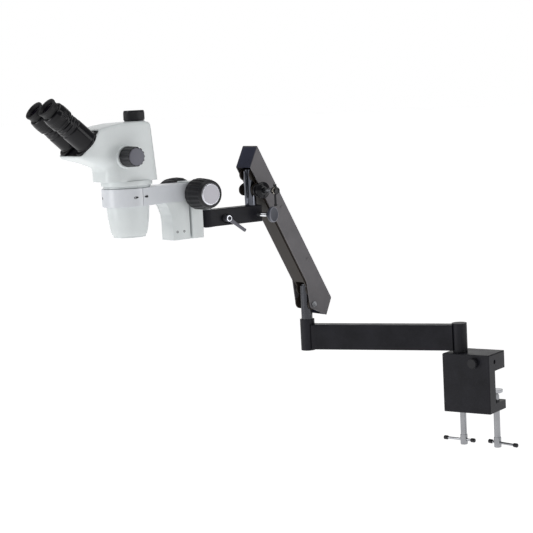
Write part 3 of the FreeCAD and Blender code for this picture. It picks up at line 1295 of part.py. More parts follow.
# -------------------------------------------------------------------------------- finish
def check_document():
    DOC.recompute()
    for item in DOC.Objects:
        if "Invalid" in item.State or "Error" in item.State:
            raise ValueError("%s failed: %s" % (item.Name, item.State))
    for item in NODES:
        if item.Shape.isNull() or not item.Shape.isValid():
            raise ValueError(item.Label + " has no valid shape")
        if not item.Shape.Solids:
            raise ValueError(item.Label + " has no solid")


def write_parts():
    os.makedirs("parts", exist_ok=True)
    for item in NODES:
        item.Shape.exportStep("parts/%s.step" % item.Label)


def main():
    fill_sheet()
    frames = make_frames()
    clamp_body(frames)
    clamp_fittings(frames)
    lower_arm(frames)
    swivel_posts(frames)
    arm_channel(frames)
    arm_cover(frames)
    end_caps(frames)
    fit_cover_screws(frames)
    pivot_bolts(frames)
    link_bars(frames)
    gas_spring(frames)
    arm_lock(frames)
    short_arm(frames)
    focus_housing(frames)
    pinion(frames)
    focus_knobs(frames)
    focus_column(frames)
    rack(frames)
    ring_arm(frames)
    mount_screws(frames)
    head_shell(frames)
    barrel(frames)
    zoom(frames)
    photo_port(frames)
    eyepieces(frames)
    check_document()
    write_parts()
    print("%d sub-parts written" % len(NODES))


main()
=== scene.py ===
import json
import math
import bmesh
import bpy
from mathutils import Matrix, Vector


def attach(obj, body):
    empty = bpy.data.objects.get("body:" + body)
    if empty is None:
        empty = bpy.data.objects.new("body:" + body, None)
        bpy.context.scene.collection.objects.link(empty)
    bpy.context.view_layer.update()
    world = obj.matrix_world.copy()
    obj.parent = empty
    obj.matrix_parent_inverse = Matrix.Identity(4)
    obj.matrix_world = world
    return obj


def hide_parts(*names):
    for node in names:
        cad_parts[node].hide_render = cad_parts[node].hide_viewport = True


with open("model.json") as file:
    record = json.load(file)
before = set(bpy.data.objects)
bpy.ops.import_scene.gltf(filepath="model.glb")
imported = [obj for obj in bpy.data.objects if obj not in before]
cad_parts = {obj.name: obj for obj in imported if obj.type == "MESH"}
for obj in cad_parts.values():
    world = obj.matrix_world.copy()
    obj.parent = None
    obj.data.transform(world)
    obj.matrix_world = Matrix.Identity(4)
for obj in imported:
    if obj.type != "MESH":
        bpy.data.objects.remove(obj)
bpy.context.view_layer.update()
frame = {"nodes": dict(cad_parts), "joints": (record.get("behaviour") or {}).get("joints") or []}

JOINTS = {joint["name"]: joint for joint in frame["joints"]}
MM = 0.001
UP = Vector((0, 0, 1))


# ------------------------------------------------------------------ frames, from the joints
def joint_point(name):
    return Vector(JOINTS[name]["pos_m"])


def joint_axis(name):
    return Vector(JOINTS[name]["axis"]).normalized()


def axes(origin, z, x):
    """A frame with this Z and with X as near as it can be to x."""
    z = z.normalized()
    y = z.cross(x).normalized()
    x = y.cross(z)
    return Matrix(((x.x, y.x, z.x, origin.x), (x.y, y.y, z.y, origin.y),
                   (x.z, y.z, z.z, origin.z), (0, 0, 0, 1)))


def inside(place, x=0.0, y=0.0, z=0.0, turn=0.0, about="Z"):
    """A frame inside another: moved in mm, then turned in degrees about its own axis."""
    return place @ Matrix.Translation(Vector((x, y, z)) * MM) @ \
        Matrix.Rotation(math.radians(turn), 4, about)


SIDE = joint_axis("zoom_turn")
OUT = SIDE.cross(UP)
HEAD = axes(joint_point("head_turn"), UP, OUT)
EYE_AXIS = joint_axis("eye_tube_right_swing")
SHORT = axes(joint_point("short_arm_swing"), UP, OUT)

# Places in mm within those frames, each used by more than one piece or worth a name.
EYE_PLACE = (90, 0, 83)
EYE_HALF_SPACING = 27.0
RIGHT_TUBE_EXTRA = 7.0
ZOOM_X, ZOOM_Z = 21.5, 56
FOCUS_X, FOCUS_Z = -131, -20.5
PORT_X = -23.5
RING_HEIGHT = 32
RING_RADIUS = 45.0
LEVER_X, LEVER_Z, LEVER_DROP = 69.5, -17.7, 35
SWIVEL_Z, SWIVEL_HEADING = -17.5, 109
LOCK_STEP = 50
BAR_LEVEL = -141
SHARP_ANGLE = 32


# ------------------------------------------------------------------------ mesh building
def soft(points, radius, closed=True, steps=3):
    """The outline with each corner rounded; a corner may carry its own radius."""
    count = len(points)
    result = []
    for i, point in enumerate(points):
        here = Vector(point[:2])
        own = point[2] if len(point) > 2 else radius
        if (not closed and i in (0, count - 1)) or own <= 0:
            result.append(here)
            continue
        before = Vector(points[i - 1][:2]) - here
        after = Vector(points[(i + 1) % count][:2]) - here
        angle = before.angle(after)
        if angle > math.pi - 0.05:
            result.append(here)
            continue
        cut = own / math.tan(angle / 2)
        cut = min(cut, before.length * 0.49, after.length * 0.49)
        own = cut * math.tan(angle / 2)
        start = here + before.normalized() * cut
        end = here + after.normalized() * cut
        middle = (before.normalized() + after.normalized()).normalized()
        centre = here + middle * (own / math.sin(angle / 2))
        first = start - centre
        last = end - centre
        sweep = first.angle_signed(last)
        number = max(2, int(steps * abs(sweep) / 0.8) + 1)
        for step in range(number + 1):
            turn = -sweep * step / number
            c, s = math.cos(turn), math.sin(turn)
            result.append(centre + Vector((first.x * c - first.y * s, first.x * s + first.y * c)))
    return result


def dense(points, step, closed=True):
    """The outline with its long runs divided."""
    result = []
    count = len(points)
    for i in range(count if closed else count - 1):
        a = points[i]
        b = points[(i + 1) % count]
        parts = max(1, int((b - a).length / step + 0.5))
        result += [a.lerp(b, k / parts) for k in range(parts)]
    if not closed:
        result.append(points[-1])
    return result


def finish_mesh(name, bm, place, body, mat, nodes=(), sharp=SHARP_ANGLE):
    bmesh.ops.remove_doubles(bm, verts=bm.verts, dist=1e-7)
    bmesh.ops.recalc_face_normals(bm, faces=bm.faces)
    mesh = bpy.data.meshes.new(name)
    bm.to_mesh(mesh)
    bm.free()
    for polygon in mesh.polygons:
        polygon.use_smooth = True
    mesh.set_sharp_from_angle(angle=math.radians(sharp))
    piece = bpy.data.objects.new(name, mesh)
    bpy.context.scene.collection.objects.link(piece)
    piece.matrix_world = place
    mesh.materials.append(mat)
    bpy.context.view_layer.update()
    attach(piece, body)
    if nodes:
        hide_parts(*nodes)
    return piece


def rings_to_mesh(rings, closed_ring=True, closed_loft=False, caps=False):
    """Quads between successive rings of points, in mm."""
    bm = bmesh.new()
    rows = [[bm.verts.new(Vector(p) * MM) for p in ring] for ring in rings]
    pairs = list(zip(rows, rows[1:])) + ([(rows[-1], rows[0])] if closed_loft else [])
    for low, high in pairs:
        count = len(low)
        for i in range(count if closed_ring else count - 1):
            j = (i + 1) % count
            bm.faces.new((low[i], low[j], high[j], high[i]))
    if caps:
        bm.faces.new(list(reversed(rows[0])))
        bm.faces.new(rows[-1])
    return bm


def lathe(name, outline, place, body, mat, nodes=(), closed=False, edge=0.4, steps=72,
          grip=None):
    """A turned piece from (radius, height) corners; grip = (low, high, count, depth, kind)."""
    points = soft(outline, edge, closed)
    if grip:
        points = dense(points, 1.2, closed)
        steps = grip[2] * (8 if grip[4] == "flute" else 4)
    rings = []
    for i in range(steps):
        angle = 2 * math.pi * i / steps
        ring = []
        for p in points:
            radius = p.x - (groove(grip, angle, p) if grip else 0.0)
            ring.append((radius * math.cos(angle), radius * math.sin(angle), p.y))
        rings.append(ring)
    bm = rings_to_mesh(rings, closed_ring=closed, closed_loft=True)
    return finish_mesh(name, bm, place, body, mat, nodes)


def groove(grip, angle, point):
    low, high, count, depth, kind = grip[:5]
    least = grip[5] if len(grip) > 5 else 0.0
    if not low < point.y < high or point.x < least:
        return 0.0
    ends = min(1.0, (point.y - low) / 0.8, (high - point.y) / 0.8)
    part = (angle * count / (2 * math.pi)) % 1.0
    if kind == "flute":
        across = (part - 0.5) / 0.36
        shape = math.sqrt(max(0.0, 1 - across * across))
    elif kind == "rib":
        across = (part - 0.5) / 0.14
        shape = 1.0 if abs(across) < 1 else 0.0
    else:
        shape = 1 - abs(2 * part - 1)
    return depth * shape * ends


def slab(name, outline, low, high, place, body, mat, nodes=(), edge=0.6,
         segments=2):
    """A plate: a closed outline in XY between two heights, with rounded edges."""
    rounded = any(len(p) > 2 for p in outline)
    points = soft(outline, 0.0, True) if rounded else [Vector(p) for p in outline]
    bm = rings_to_mesh([[(p.x, p.y, low) for p in points], [(p.x, p.y, high) for p in points]],
                       caps=True)
    piece = finish_mesh(name, bm, place, body, mat, nodes)
    if edge:
        bevel = piece.modifiers.new("edges", "BEVEL")
        bevel.width = edge * MM
        bevel.segments = segments
        bevel.limit_method = "ANGLE"
        bevel.angle_limit = math.radians(40)
        bevel.harden_normals = True
    return piece


def cut_with(piece, *cutters):
    """Boolean cuts made for good, so the cutters leave nothing behind."""
    for cutter in cutters:
        change = piece.modifiers.new("cut", "BOOLEAN")
        change.operation = "DIFFERENCE"
        change.solver = "EXACT"
        change.object = cutter
    bpy.context.view_layer.update()
    graph = bpy.context.evaluated_depsgraph_get()
    mesh = bpy.data.meshes.new_from_object(piece.evaluated_get(graph))
    old = piece.data
    piece.modifiers.clear()
    piece.data = mesh
    bpy.data.meshes.remove(old)
    for cutter in cutters:
        data = cutter.data
        bpy.data.objects.remove(cutter)
        bpy.data.meshes.remove(data)
    for polygon in mesh.polygons:
        polygon.use_smooth = True
    mesh.set_sharp_from_angle(angle=math.radians(SHARP_ANGLE))


def cutter(points, low, high, place):
    bm = rings_to_mesh([[(p[0], p[1], low) for p in points],
                        [(p[0], p[1], high) for p in points]], caps=True)
    bmesh.ops.recalc_face_normals(bm, faces=bm.faces)
    mesh = bpy.data.meshes.new("cutter")
    bm.to_mesh(mesh)
    bm.free()
    tool = bpy.data.objects.new("cutter", mesh)
    bpy.context.scene.collection.objects.link(tool)
    tool.matrix_world = place
    return tool


# ---------------------------------------------------------------------------- materials
def nodes_of(name):
    mat = bpy.data.materials.new(name)
    mat.use_nodes = True
    tree = mat.node_tree
    shader = tree.nodes["Principled BSDF"]
    place = tree.nodes.new("ShaderNodeTexCoord")
    return mat, tree, shader, place.outputs["Object"]


def noise(tree, where, scale, detail=2.0, rough=0.5, stretch=None):
    if stretch:
        mapping = tree.nodes.new("ShaderNodeMapping")
        mapping.inputs["Scale"].default_value = stretch
        tree.links.new(where, mapping.inputs["Vector"])
        where = mapping.outputs["Vector"]
    node = tree.nodes.new("ShaderNodeTexNoise")
    node.inputs["Scale"].default_value = scale
    node.inputs["Detail"].default_value = detail
    node.inputs["Roughness"].default_value = rough
    tree.links.new(where, node.inputs["Vector"])
    return node.outputs["Fac"]


def ramp(tree, value, low, high, start=0.3, end=0.7):
    node = tree.nodes.new("ShaderNodeMapRange")
    node.inputs["From Min"].default_value = start
    node.inputs["From Max"].default_value = end
    node.inputs["To Min"].default_value = low
    node.inputs["To Max"].default_value = high
    tree.links.new(value, node.inputs["Value"])
    return node.outputs["Result"]


def blend_colors(tree, factor, first, second):
    node = tree.nodes.new("ShaderNodeMix")
    node.data_type = "RGBA"
    node.inputs[6].default_value = (*first, 1)
    node.inputs[7].default_value = (*second, 1)
    tree.links.new(factor, node.inputs[0])
    return node.outputs[2]


def bump(tree, shader, height, strength, distance):
    node = tree.nodes.new("ShaderNodeBump")
    node.inputs["Strength"].default_value = strength
    node.inputs["Distance"].default_value = distance * MM
    tree.links.new(height, node.inputs["Height"])
    tree.links.new(node.outputs["Normal"], shader.inputs["Normal"])


def surface(name, dark, light, rough, grain, grain_depth, metal=0.0, coat=0.0, coat_rough=0.1,
            strength=0.5, specular=0.5, stretch=None, spread=0.08):
    """Colour drifting between two tones, roughness drifting with it, and a fine grain."""
    mat, tree, shader, where = nodes_of(name)
    drift = noise(tree, where, 25, 3)
    fine = noise(tree, where, grain, 3, 0.6, stretch)
    mixed = tree.nodes.new("ShaderNodeMath")
    mixed.operation = "ADD"
    tree.links.new(drift, mixed.inputs[0])
    tree.links.new(fine, mixed.inputs[1])
    color = blend_colors(tree, ramp(tree, mixed.outputs[0], 0, 1, 0.7, 1.3), dark, light)
    tree.links.new(color, shader.inputs["Base Color"])
    tree.links.new(ramp(tree, mixed.outputs[0], rough - spread, rough + spread, 0.7, 1.3),
                   shader.inputs["Roughness"])
    shader.inputs["Metallic"].default_value = metal
    shader.inputs["Coat Weight"].default_value = coat
    shader.inputs["Coat Roughness"].default_value = coat_rough
    shader.inputs["Specular IOR Level"].default_value = specular
    bump(tree, shader, fine, strength, grain_depth)
    return mat


WHITE = surface("white_paint", (0.58, 0.615, 0.62), (0.65, 0.685, 0.69), 0.36, 1400, 0.012,
                coat=0.25, coat_rough=0.18, strength=0.25, spread=0.05)
RING_WHITE = surface("ring_paint", (0.57, 0.59, 0.62), (0.63, 0.65, 0.69), 0.34, 1400, 0.012,
                     coat=0.3, coat_rough=0.15, strength=0.25, spread=0.05)
POWDER = surface("black_powder_coat", (0.003, 0.003, 0.005), (0.014, 0.014, 0.019), 0.42, 700,
                 0.09, strength=1.0, spread=0.06, specular=0.2)
COVER = surface("grey_satin_paint", (0.066, 0.062, 0.068), (0.105, 0.099, 0.107), 0.42, 500,
                0.02, strength=0.35, coat=0.1, coat_rough=0.3, stretch=(6, 6, 0.35))
CHANNEL = surface("brown_black_paint", (0.011, 0.008, 0.006), (0.026, 0.020, 0.016), 0.5, 900,
                  0.03, strength=0.5, specular=0.25)
NAVY = surface("navy_plastic", (0.008, 0.010, 0.024), (0.016, 0.019, 0.040), 0.34, 1200, 0.01,
               strength=0.2)
PLASTIC = surface("black_plastic", (0.005, 0.005, 0.007), (0.012, 0.012, 0.015), 0.34, 1500,
                  0.02, strength=0.35, spread=0.05, specular=0.32)
GLOSS = surface("black_satin_gloss", (0.002, 0.002, 0.003), (0.006, 0.006, 0.008), 0.2, 1500,
                0.008, strength=0.2, coat=0.2, coat_rough=0.04, spread=0.04, specular=0.15)
SLATE = surface("dark_slate_plastic", (0.030, 0.033, 0.048), (0.045, 0.049, 0.066), 0.4, 1300,
                0.012, strength=0.25)
RUBBER = surface("black_rubber", (0.006, 0.006, 0.007), (0.014, 0.014, 0.015), 0.46, 1200, 0.03,
                 strength=0.5, specular=0.25)
CHROME = surface("bright_chrome", (0.62, 0.63, 0.66), (0.72, 0.73, 0.76), 0.10, 700, 0.004,
                 metal=1.0, strength=0.15, spread=0.04)
STEEL = surface("turned_steel", (0.36, 0.37, 0.39), (0.50, 0.51, 0.54), 0.26, 900, 0.01,
                metal=1.0, strength=0.3, stretch=(0.2, 0.2, 3), spread=0.06)
DARK_STEEL = surface("dark_steel", (0.05, 0.052, 0.06), (0.09, 0.092, 0.10), 0.26, 900, 0.01,
                     metal=1.0, strength=0.3, stretch=(0.2, 0.2, 3), spread=0.06)
GREY_DISC = surface("satin_grey_disc", (0.36, 0.355, 0.39), (0.44, 0.435, 0.47), 0.42, 1200,
                    0.01, metal=0.55, strength=0.3)
BRASS_CHROME = surface("warm_plating", (0.50, 0.46, 0.40), (0.62, 0.58, 0.52), 0.2, 900, 0.006,
                       metal=1.0, strength=0.2)
BLUED_CHROME = surface("dark_polished_post", (0.07, 0.075, 0.09), (0.13, 0.135, 0.155), 0.08, 700,
                       0.004, metal=1.0, strength=0.15, spread=0.03)
DARK_CHROME = surface("worn_chrome", (0.24, 0.245, 0.26), (0.36, 0.365, 0.38), 0.16, 700, 0.008,
                      metal=1.0, strength=0.25, stretch=(1, 1, 4))
RIM_GREY = surface("slate_rim", (0.16, 0.165, 0.2), (0.22, 0.225, 0.26), 0.3, 1300, 0.01,
                   strength=0.2)
ZOOM_DISC = surface("zoom_disc_grey", (0.085, 0.086, 0.105), (0.12, 0.121, 0.145), 0.36, 900,
                    0.02, metal=0.3, strength=0.4)
BRIGHT_RIM = surface("bright_rim", (0.60, 0.61, 0.66), (0.70, 0.71, 0.76), 0.22, 1200, 0.006,
                     metal=0.9, strength=0.2)
LEVER_GREY = surface("grey_cast_lever", (0.07, 0.07, 0.085), (0.12, 0.12, 0.14), 0.36, 900, 0.02,
                     metal=0.6, strength=0.4)
BRASS = surface("cut_brass", (0.52, 0.38, 0.16), (0.62, 0.47, 0.22), 0.3, 900, 0.01, metal=1.0)


def coated_glass_painted_sheen():
    mat, tree, shader, where = nodes_of("coated_glass_painted_sheen")
    grazing_sheen = tree.nodes.new("ShaderNodeLayerWeight")
    grazing_sheen.inputs["Blend"].default_value = 0.5
    # Painted reflection: the base colour goes from dark purple face-on to lighter purple at grazing
    # angles, standing in for the lens coating's sheen.
    color = blend_colors(tree, grazing_sheen.outputs["Facing"], (0.05, 0.02, 0.12), (0.32, 0.16, 0.5))
    tree.links.new(color, shader.inputs["Base Color"])
    spots = noise(tree, where, 300, 2)
    tree.links.new(ramp(tree, spots, 0.02, 0.07), shader.inputs["Roughness"])
    shader.inputs["Coat Weight"].default_value = 1.0
    shader.inputs["Coat Roughness"].default_value = 0.03
    return mat


GLASS = coated_glass_painted_sheen()

CAD_LOOKS = {
    WHITE: ("head_shell", "lower_barrel", "focus_housing", "focus_column", "ring_arm",
            "ring_front", "photo_tube"),
    POWDER: ("clamp_body", "lower_arm_tube", "lower_arm_bosses", "short_arm"),
    CHROME: ("gas_rod",),
    BLUED_CHROME: ("post_3",),
    DARK_CHROME: ("clamp_screw_left", "clamp_screw_right", "pivot_bolts"),
    STEEL: ("post_1", "lock_plunger", "clamp_pad_left", "clamp_pad_right", "link_pins",
            "mount_pin", "pinion_shaft", "zoom_shaft"),
    DARK_STEEL: ("post_2",),
    COVER: ("arm_cover", "cover_screws"),
    CHANNEL: ("arm_channel", "link_bars"),
    NAVY: ("arm_end_caps",),
    PLASTIC: ("post_lock_knob", "mount_screws", "lock_bar", "photo_cap", "focus_knob_right",
              "focus_knob_left", "zoom_knob_right", "zoom_knob_left"),
    SLATE: ("swivel_knob",),
    LEVER_GREY: ("clamp_lever",),
    GREY_DISC: ("focus_knob_discs",),
    ZOOM_DISC: ("zoom_knob_discs",),
    GLOSS: ("gas_cylinder", "lock_handle", "face_plate", "eye_tube_right", "eye_tube_left",
            "eyepiece_right", "eyepiece_left", "diopter_ring_right", "diopter_ring_left"),
    RUBBER: ("eyecup_right", "eyecup_left"),
    GLASS: ("objective_lens", "beam_splitter", "eye_lens_right", "eye_lens_left"),
    BRASS: ("focus_rack",),
}


def dress_nodes():
    for mat, names in CAD_LOOKS.items():
        for name in names:
            node = frame["nodes"][name]
            for slot in node.material_slots:
                slot.material = mat
            soften = node.modifiers.new("edges", "BEVEL")
            soften.width = 0.5 * MM
            soften.segments = 2
            soften.limit_method = "ANGLE"
            soften.angle_limit = math.radians(38)
            soften.harden_normals = True


# --------------------------------------------------------------------------------- head
def rounded_ring(low, high, half, radii, steps=6):
    """A rounded rectangle's points as (along, across): two corner radii, low end and high end."""
    points = []
    for end, sign in ((low, -1), (high, 1)):
        radius = radii[0] if sign < 0 else radii[1]
        inner = end - sign * radius
        for k in range(steps + 1):
            turn = math.pi / 2 * k / steps
            c, s = radius * math.cos(turn), radius * math.sin(turn)
            points.append((inner - s, half - radius + c) if sign < 0 else
                          (inner + c, half - radius + s))
        if sign < 0:
            front = len(points)
    low_side = points[:front]
    high_side = points[front:]
    near = high_side + low_side
    far = [(a, -b) for a, b in reversed(near)]
    return near + far


HEAD_SECTIONS = (
    # front point (x, z), back point (x, z), half width, front corner, back corner
    ((109.9, 60.2), (70.1, 105.8), 41.0, 8.5, 8.5),
    ((109.0, 58.2), (67.4, 106.6), 41.2, 8.5, 8.5),
    ((106.4, 56.0), (62.0, 107.9), 40.8, 9.0, 8.8),
    ((100.2, 53.6), (52.5, 109.9), 40.2, 12.0, 9.0),
    ((92.0, 50.8), (38.0, 112.4), 39.7, 17.0, 9.0),
    ((82.0, 47.2), (18.0, 114.4), 39.3, 21.0, 9.0),
    ((73.0, 43.8), (-4.0, 115.0), 39.0, 23.0, 9.0),
    ((65.5, 40.8), (-21.0, 115.0), 38.8, 23.0, 9.0),
    ((60.5, 38.6), (-30.5, 114.3), 38.7, 23.0, 9.0),
    ((57.5, 36.6), (-34.6, 111.5), 38.6, 23.0, 9.5),
    ((56.0, 34.0), (-36.4, 106.5), 38.5, 23.0, 10.0),
    ((55.2, 30.5), (-38.0, 96.0), 38.5, 23.0, 11.0),
    ((55.0, 25.0), (-40.8, 70.0), 38.5, 23.0, 12.0),
    ((55.0, 19.0), (-43.8, 40.0), 38.5, 23.0, 13.0),
    ((55.0, 13.6), (-46.0, 13.6), 38.5, 23.0, 13.0),
    ((54.6, 13.2), (-45.6, 13.2), 38.1, 22.6, 12.6),
)


def smooth_between(rows, parts):
    """Catmull-Rom rows between the given rows of numbers."""
    result = []
    for i in range(len(rows) - 1):
        a = rows[max(0, i - 1)]
        b = rows[i]
        c = rows[i + 1]
        d = rows[min(len(rows) - 1, i + 2)]
        for k in range(parts):
            t = k / parts
            result.append([0.5 * (2 * q + (r - p) * t + (2 * p - 5 * q + 4 * r - w) * t * t
                                  + (3 * q - p - 3 * r + w) * t ** 3)
                           for p, q, r, w in zip(a, b, c, d)])
    result.append(list(rows[-1]))
    return result


def section_ring(row, inset=0.0, sink=0.0):
    fx, fz, bx, bz, half, front, back = row
    a = Vector((fx, fz))
    b = Vector((bx, bz))
    length = (b - a).length
    along = (b - a).normalized()
    outward = Vector((along.y, -along.x))
    ring = rounded_ring(inset, length - inset, half - inset, (max(1, front - inset),
                                                              max(1, back - inset)))
    points = []
    for s, v in ring:
        p = a + along * s - outward * sink
        points.append((p.x, v, p.y))
    return points


def head_shell():
    rows = [(f[0], f[1], b[0], b[1], w, r, q) for f, b, w, r, q in HEAD_SECTIONS]
    rings = [section_ring(row) for row in smooth_between(rows, 4)]
    plate = rows[0]
    lip = [section_ring(plate, 0.9, -0.6), section_ring(plate, 2.2, -0.7),
           section_ring(plate, 3.0, -0.1), section_ring(plate, 3.2, 4.0)]
    bottom = section_ring(rows[-1], 8.0, 0.0)
    rings = list(reversed(lip)) + rings + [bottom]
    bm = rings_to_mesh(rings, caps=True)
    finish_mesh("head_casting", bm, HEAD, "head", WHITE, ("head_shell",), sharp=50)
    for side, turn in (("right", -90), ("left", 90)):
        place = inside(HEAD, ZOOM_X, 0, ZOOM_Z, turn, "X")
        lathe("zoom_boss_" + side, [(0, 37), (21.5, 37), (20.0, 41.6), (19.0, 42.6), (0, 42.6)],
              place, "head", WHITE, edge=0.8, steps=80)


EYES = axes(HEAD @ (Vector(EYE_PLACE) * MM), EYE_AXIS, OUT)


def face_plate():
    outline = [(-27.0, -38, 6.5), (25.5, -38, 6.5), (25.5, 38, 6.5), (-27.0, 38, 6.5)]
    slab("black_face_plate", outline, -4.4, -0.7, EYES, "head", GLOSS, ("face_plate",), edge=0.8,
         segments=3)


def lower_barrel():
    outline = [(0, 12.9), (45.4, 12.9), (45.4, 4.9), (41.5, 3.4), (41.5, 0.35), (37.9, 0.35),
               (37.9, -33, 1), (37.4, -38, 8), (36.3, -54, 14), (33.2, -74, 10), (31.2, -82.2, 0.8),
               (29.6, -82.8), (28.8, -83.2), (28.8, -86.8), (26.6, -86.8), (25.8, -80), (0, -80)]
    lathe("zoom_barrel", outline, HEAD, "head", WHITE, ("lower_barrel",), edge=0.7, steps=120)


def zoom_knobs():
    for side, turn in (("right", -90), ("left", 90)):
        place = inside(HEAD, ZOOM_X, 0, ZOOM_Z, turn, "X")
        outline = [(4.2, 44.2), (17.8, 44.2), (18.0, 47.0), (17.6, 60), (17.1, 71.4),
                   (16.4, 73.0), (15.8, 73.3), (15.3, 71.8), (4.2, 71.8)]
        lathe("zoom_grip_" + side, outline, place, "zoom_knobs", PLASTIC,
              ("zoom_knob_" + side,), closed=True, edge=0.7,
              grip=(47.5, 75.0, 14, 1.2, "flute", 15.0))
        lathe("zoom_disc_" + side, [(0, 71.9), (15.2, 71.9), (15.2, 73.2), (14.2, 73.8), (0, 73.8)],
              place, "zoom_knobs", ZOOM_DISC, ("zoom_knob_discs",), edge=0.3)


def photo_cap():
    place = inside(HEAD, PORT_X)
    outline = [(16.3, 115.8), (17.6, 115.8), (18.0, 117.4), (18.7, 118.2), (18.7, 131.0),
               (18.2, 132.0), (17.6, 134.2), (16.0, 134.4), (15.4, 133.5), (0, 133.5), (0, 131.5),
               (16.3, 131.5)]
    lathe("photo_port_cap", outline, place, "photo_cap", PLASTIC, ("photo_cap",), edge=0.5,
          grip=(118.4, 130.8, 60, 0.25, "knurl", 18.2), closed=True)
    lathe("photo_port_ring", [(14, 113.6), (19.5, 113.6), (19.5, 114.9), (18.6, 115.4),
                              (14, 115.4)], place, "head", WHITE, edge=0.3, closed=True)


def eyepiece(side, sign):
    place = inside(EYES, 0, sign * EYE_HALF_SPACING)
    tube = "tube_" + side
    extra = RIGHT_TUBE_EXTRA if sign > 0 else 0.0
    base = [(21.6, 0.35), (21.6, 4.2), (21.0, 5.0), (20.8, 5.8), (20.5, 32.6 + extra),
            (20.0, 33.8 + extra), (19.3, 34.2 + extra), (19.3, 35.2 + extra), (15.4, 35.2 + extra),
            (15.4, 5.2), (9, 5.2), (9, 0.35)]
    lathe("eye_tube_body_" + side, base, place, tube, GLOSS, ("eye_tube_" + side,), closed=True,
          edge=0.5, steps=96)
    swing = [(12.0 + 15.4 * math.cos(t), 15.4 * math.sin(t))
             for t in [math.pi * (k / 12 - 0.5) for k in range(13)]]
    big = [(21.6 * math.cos(t), 21.6 * math.sin(t))
           for t in [math.pi / 2 + math.pi * k / 16 for k in range(17)]]
    slab("eye_swing_base_" + side, swing + big, 0.35, 3.8, place, tube, GLOSS, edge=0.9,
         segments=3)
    place = inside(place, 0, 0, extra)
    ring = [(15.3, 35.7), (19.4, 35.7), (19.8, 36.9), (19.8, 42.4), (19.2, 43.0), (18.7, 43.4),
            (18.7, 44.4), (19.5, 45.0), (19.5, 48.6), (18.9, 49.4), (18.4, 49.9), (15.3, 49.9)]
    lathe("diopter_grip_" + side, ring, place, "diopter_" + side, GLOSS,
          ("diopter_ring_" + side,), closed=True, edge=0.3,
          grip=(37.0, 42.4, 60, 0.3, "knurl", 19.3))
    body = [(13, 7), (15.0, 7), (15.0, 50.4), (18.9, 50.4), (18.9, 52.6), (20.4, 53.4),
            (21.3, 54.6), (21.3, 57.6), (20.8, 58.2), (20.8, 59.2), (21.5, 59.9), (21.5, 71.5, 1.5),
            (20.3, 78.6), (19.0, 79.9), (16.0, 79.9), (15.4, 80.8), (15.4, 86.0), (12.1, 86.0),
            (12.1, 50), (13, 44)]
    lathe("ocular_barrel_" + side, body, place, "eyepiece_" + side, GLOSS,
          ("eyepiece_" + side,), closed=True, edge=0.45, grip=(60.2, 71.0, 36, 0.45, "rib", 21.0))
    cup = [(15.6, 81.6), (16.7, 81.6), (17.1, 82.3), (16.5, 84.4), (17.0, 88.5), (17.9, 90.2),
           (18.1, 91.8), (17.6, 93.4), (16.5, 93.9), (15.1, 93.2), (14.2, 90.8), (13.2, 88.2),
           (13.0, 86.5), (15.6, 86.3)]
    lathe("rubber_eyecup_" + side, cup, place, "eyepiece_" + side, RUBBER, ("eyecup_" + side,),
          closed=True, edge=0.7, steps=96)
    lens = [(0, 83.0), (11.9, 81.6), (11.9, 79.5), (0, 79.5)]
    lathe("eye_glass_" + side, lens, place, "eyepiece_" + side, GLASS, ("eye_lens_" + side,),
          edge=0.2, steps=64)


# -------------------------------------------------------------------------- focus mount
PROFILE = HEAD @ Matrix(((1, 0, 0, 0), (0, 0, -1, 0), (0, 1, 0, 0), (0, 0, 0, 1)))


def side_slab(name, outline, half, body, mat, nodes=(), edge=0.8):
    """A plate drawn in the side view (x, z) of the head's frame, as thick as two halves."""
    return slab(name, outline, -half, half, PROFILE, body, mat, nodes, edge, 3)


def arc(cx, cy, radius, start, end, steps=24):
    return [(cx + radius * math.cos(math.radians(start + (end - start) * k / steps)),
             cy + radius * math.sin(math.radians(start + (end - start) * k / steps)))
            for k in range(steps + 1)]


def screw_face(name, place):
    """A black socket screw whose face stands a hair proud of the surface around it."""
    lathe("socket_screw_" + name, [(0, -2.6), (2.1, -2.6), (2.1, 0.3), (1.2, 0.35), (1.0, -1.0),
                                   (0, -1.2)], place, "focus_carriage", PLASTIC, edge=0.15,
          steps=28)


def ring_and_arm():
    bore = 38.15
    outer = RING_RADIUS
    split = -5.0
    inner_angle = math.degrees(math.acos(split / bore))
    outer_angle = math.degrees(math.acos(split / outer))
    back = arc(0, 0, bore, inner_angle, 360 - inner_angle, 48)
    side = outer * math.sin(math.radians(outer_angle))
    outside = [(split, -side), (-80, -19, 30), (-116.9, -19), (-116.9, -10.2), (-112.8, -12.2),
               (-112.8, 12.2), (-116.9, 10.2), (-116.9, 19), (-80, 19, 30), (split, side)]
    slab("ring_back_and_arm", back + outside, -RING_HEIGHT, 0, HEAD, "focus_carriage",
         RING_WHITE, ("ring_arm",), edge=0.7, segments=3)
    gap = split + 0.6
    inner_angle = math.degrees(math.acos(gap / bore))
    outer_angle = math.degrees(math.acos(gap / outer))
    front = arc(0, 0, outer, -outer_angle, outer_angle, 60) + \
        arc(0, 0, bore, inner_angle, -inner_angle, 48)
    slab("ring_front_half", front, -RING_HEIGHT, 0, HEAD, "focus_carriage", RING_WHITE,
         ("ring_front",), edge=0.7, segments=3)
    for name, angle in (("near_split", 76), ("left", -15)):
        place = inside(inside(HEAD, 0, 0, -RING_HEIGHT / 2, angle), RING_RADIUS, 0, 0, 90, "Y")
        screw_face(name, place)


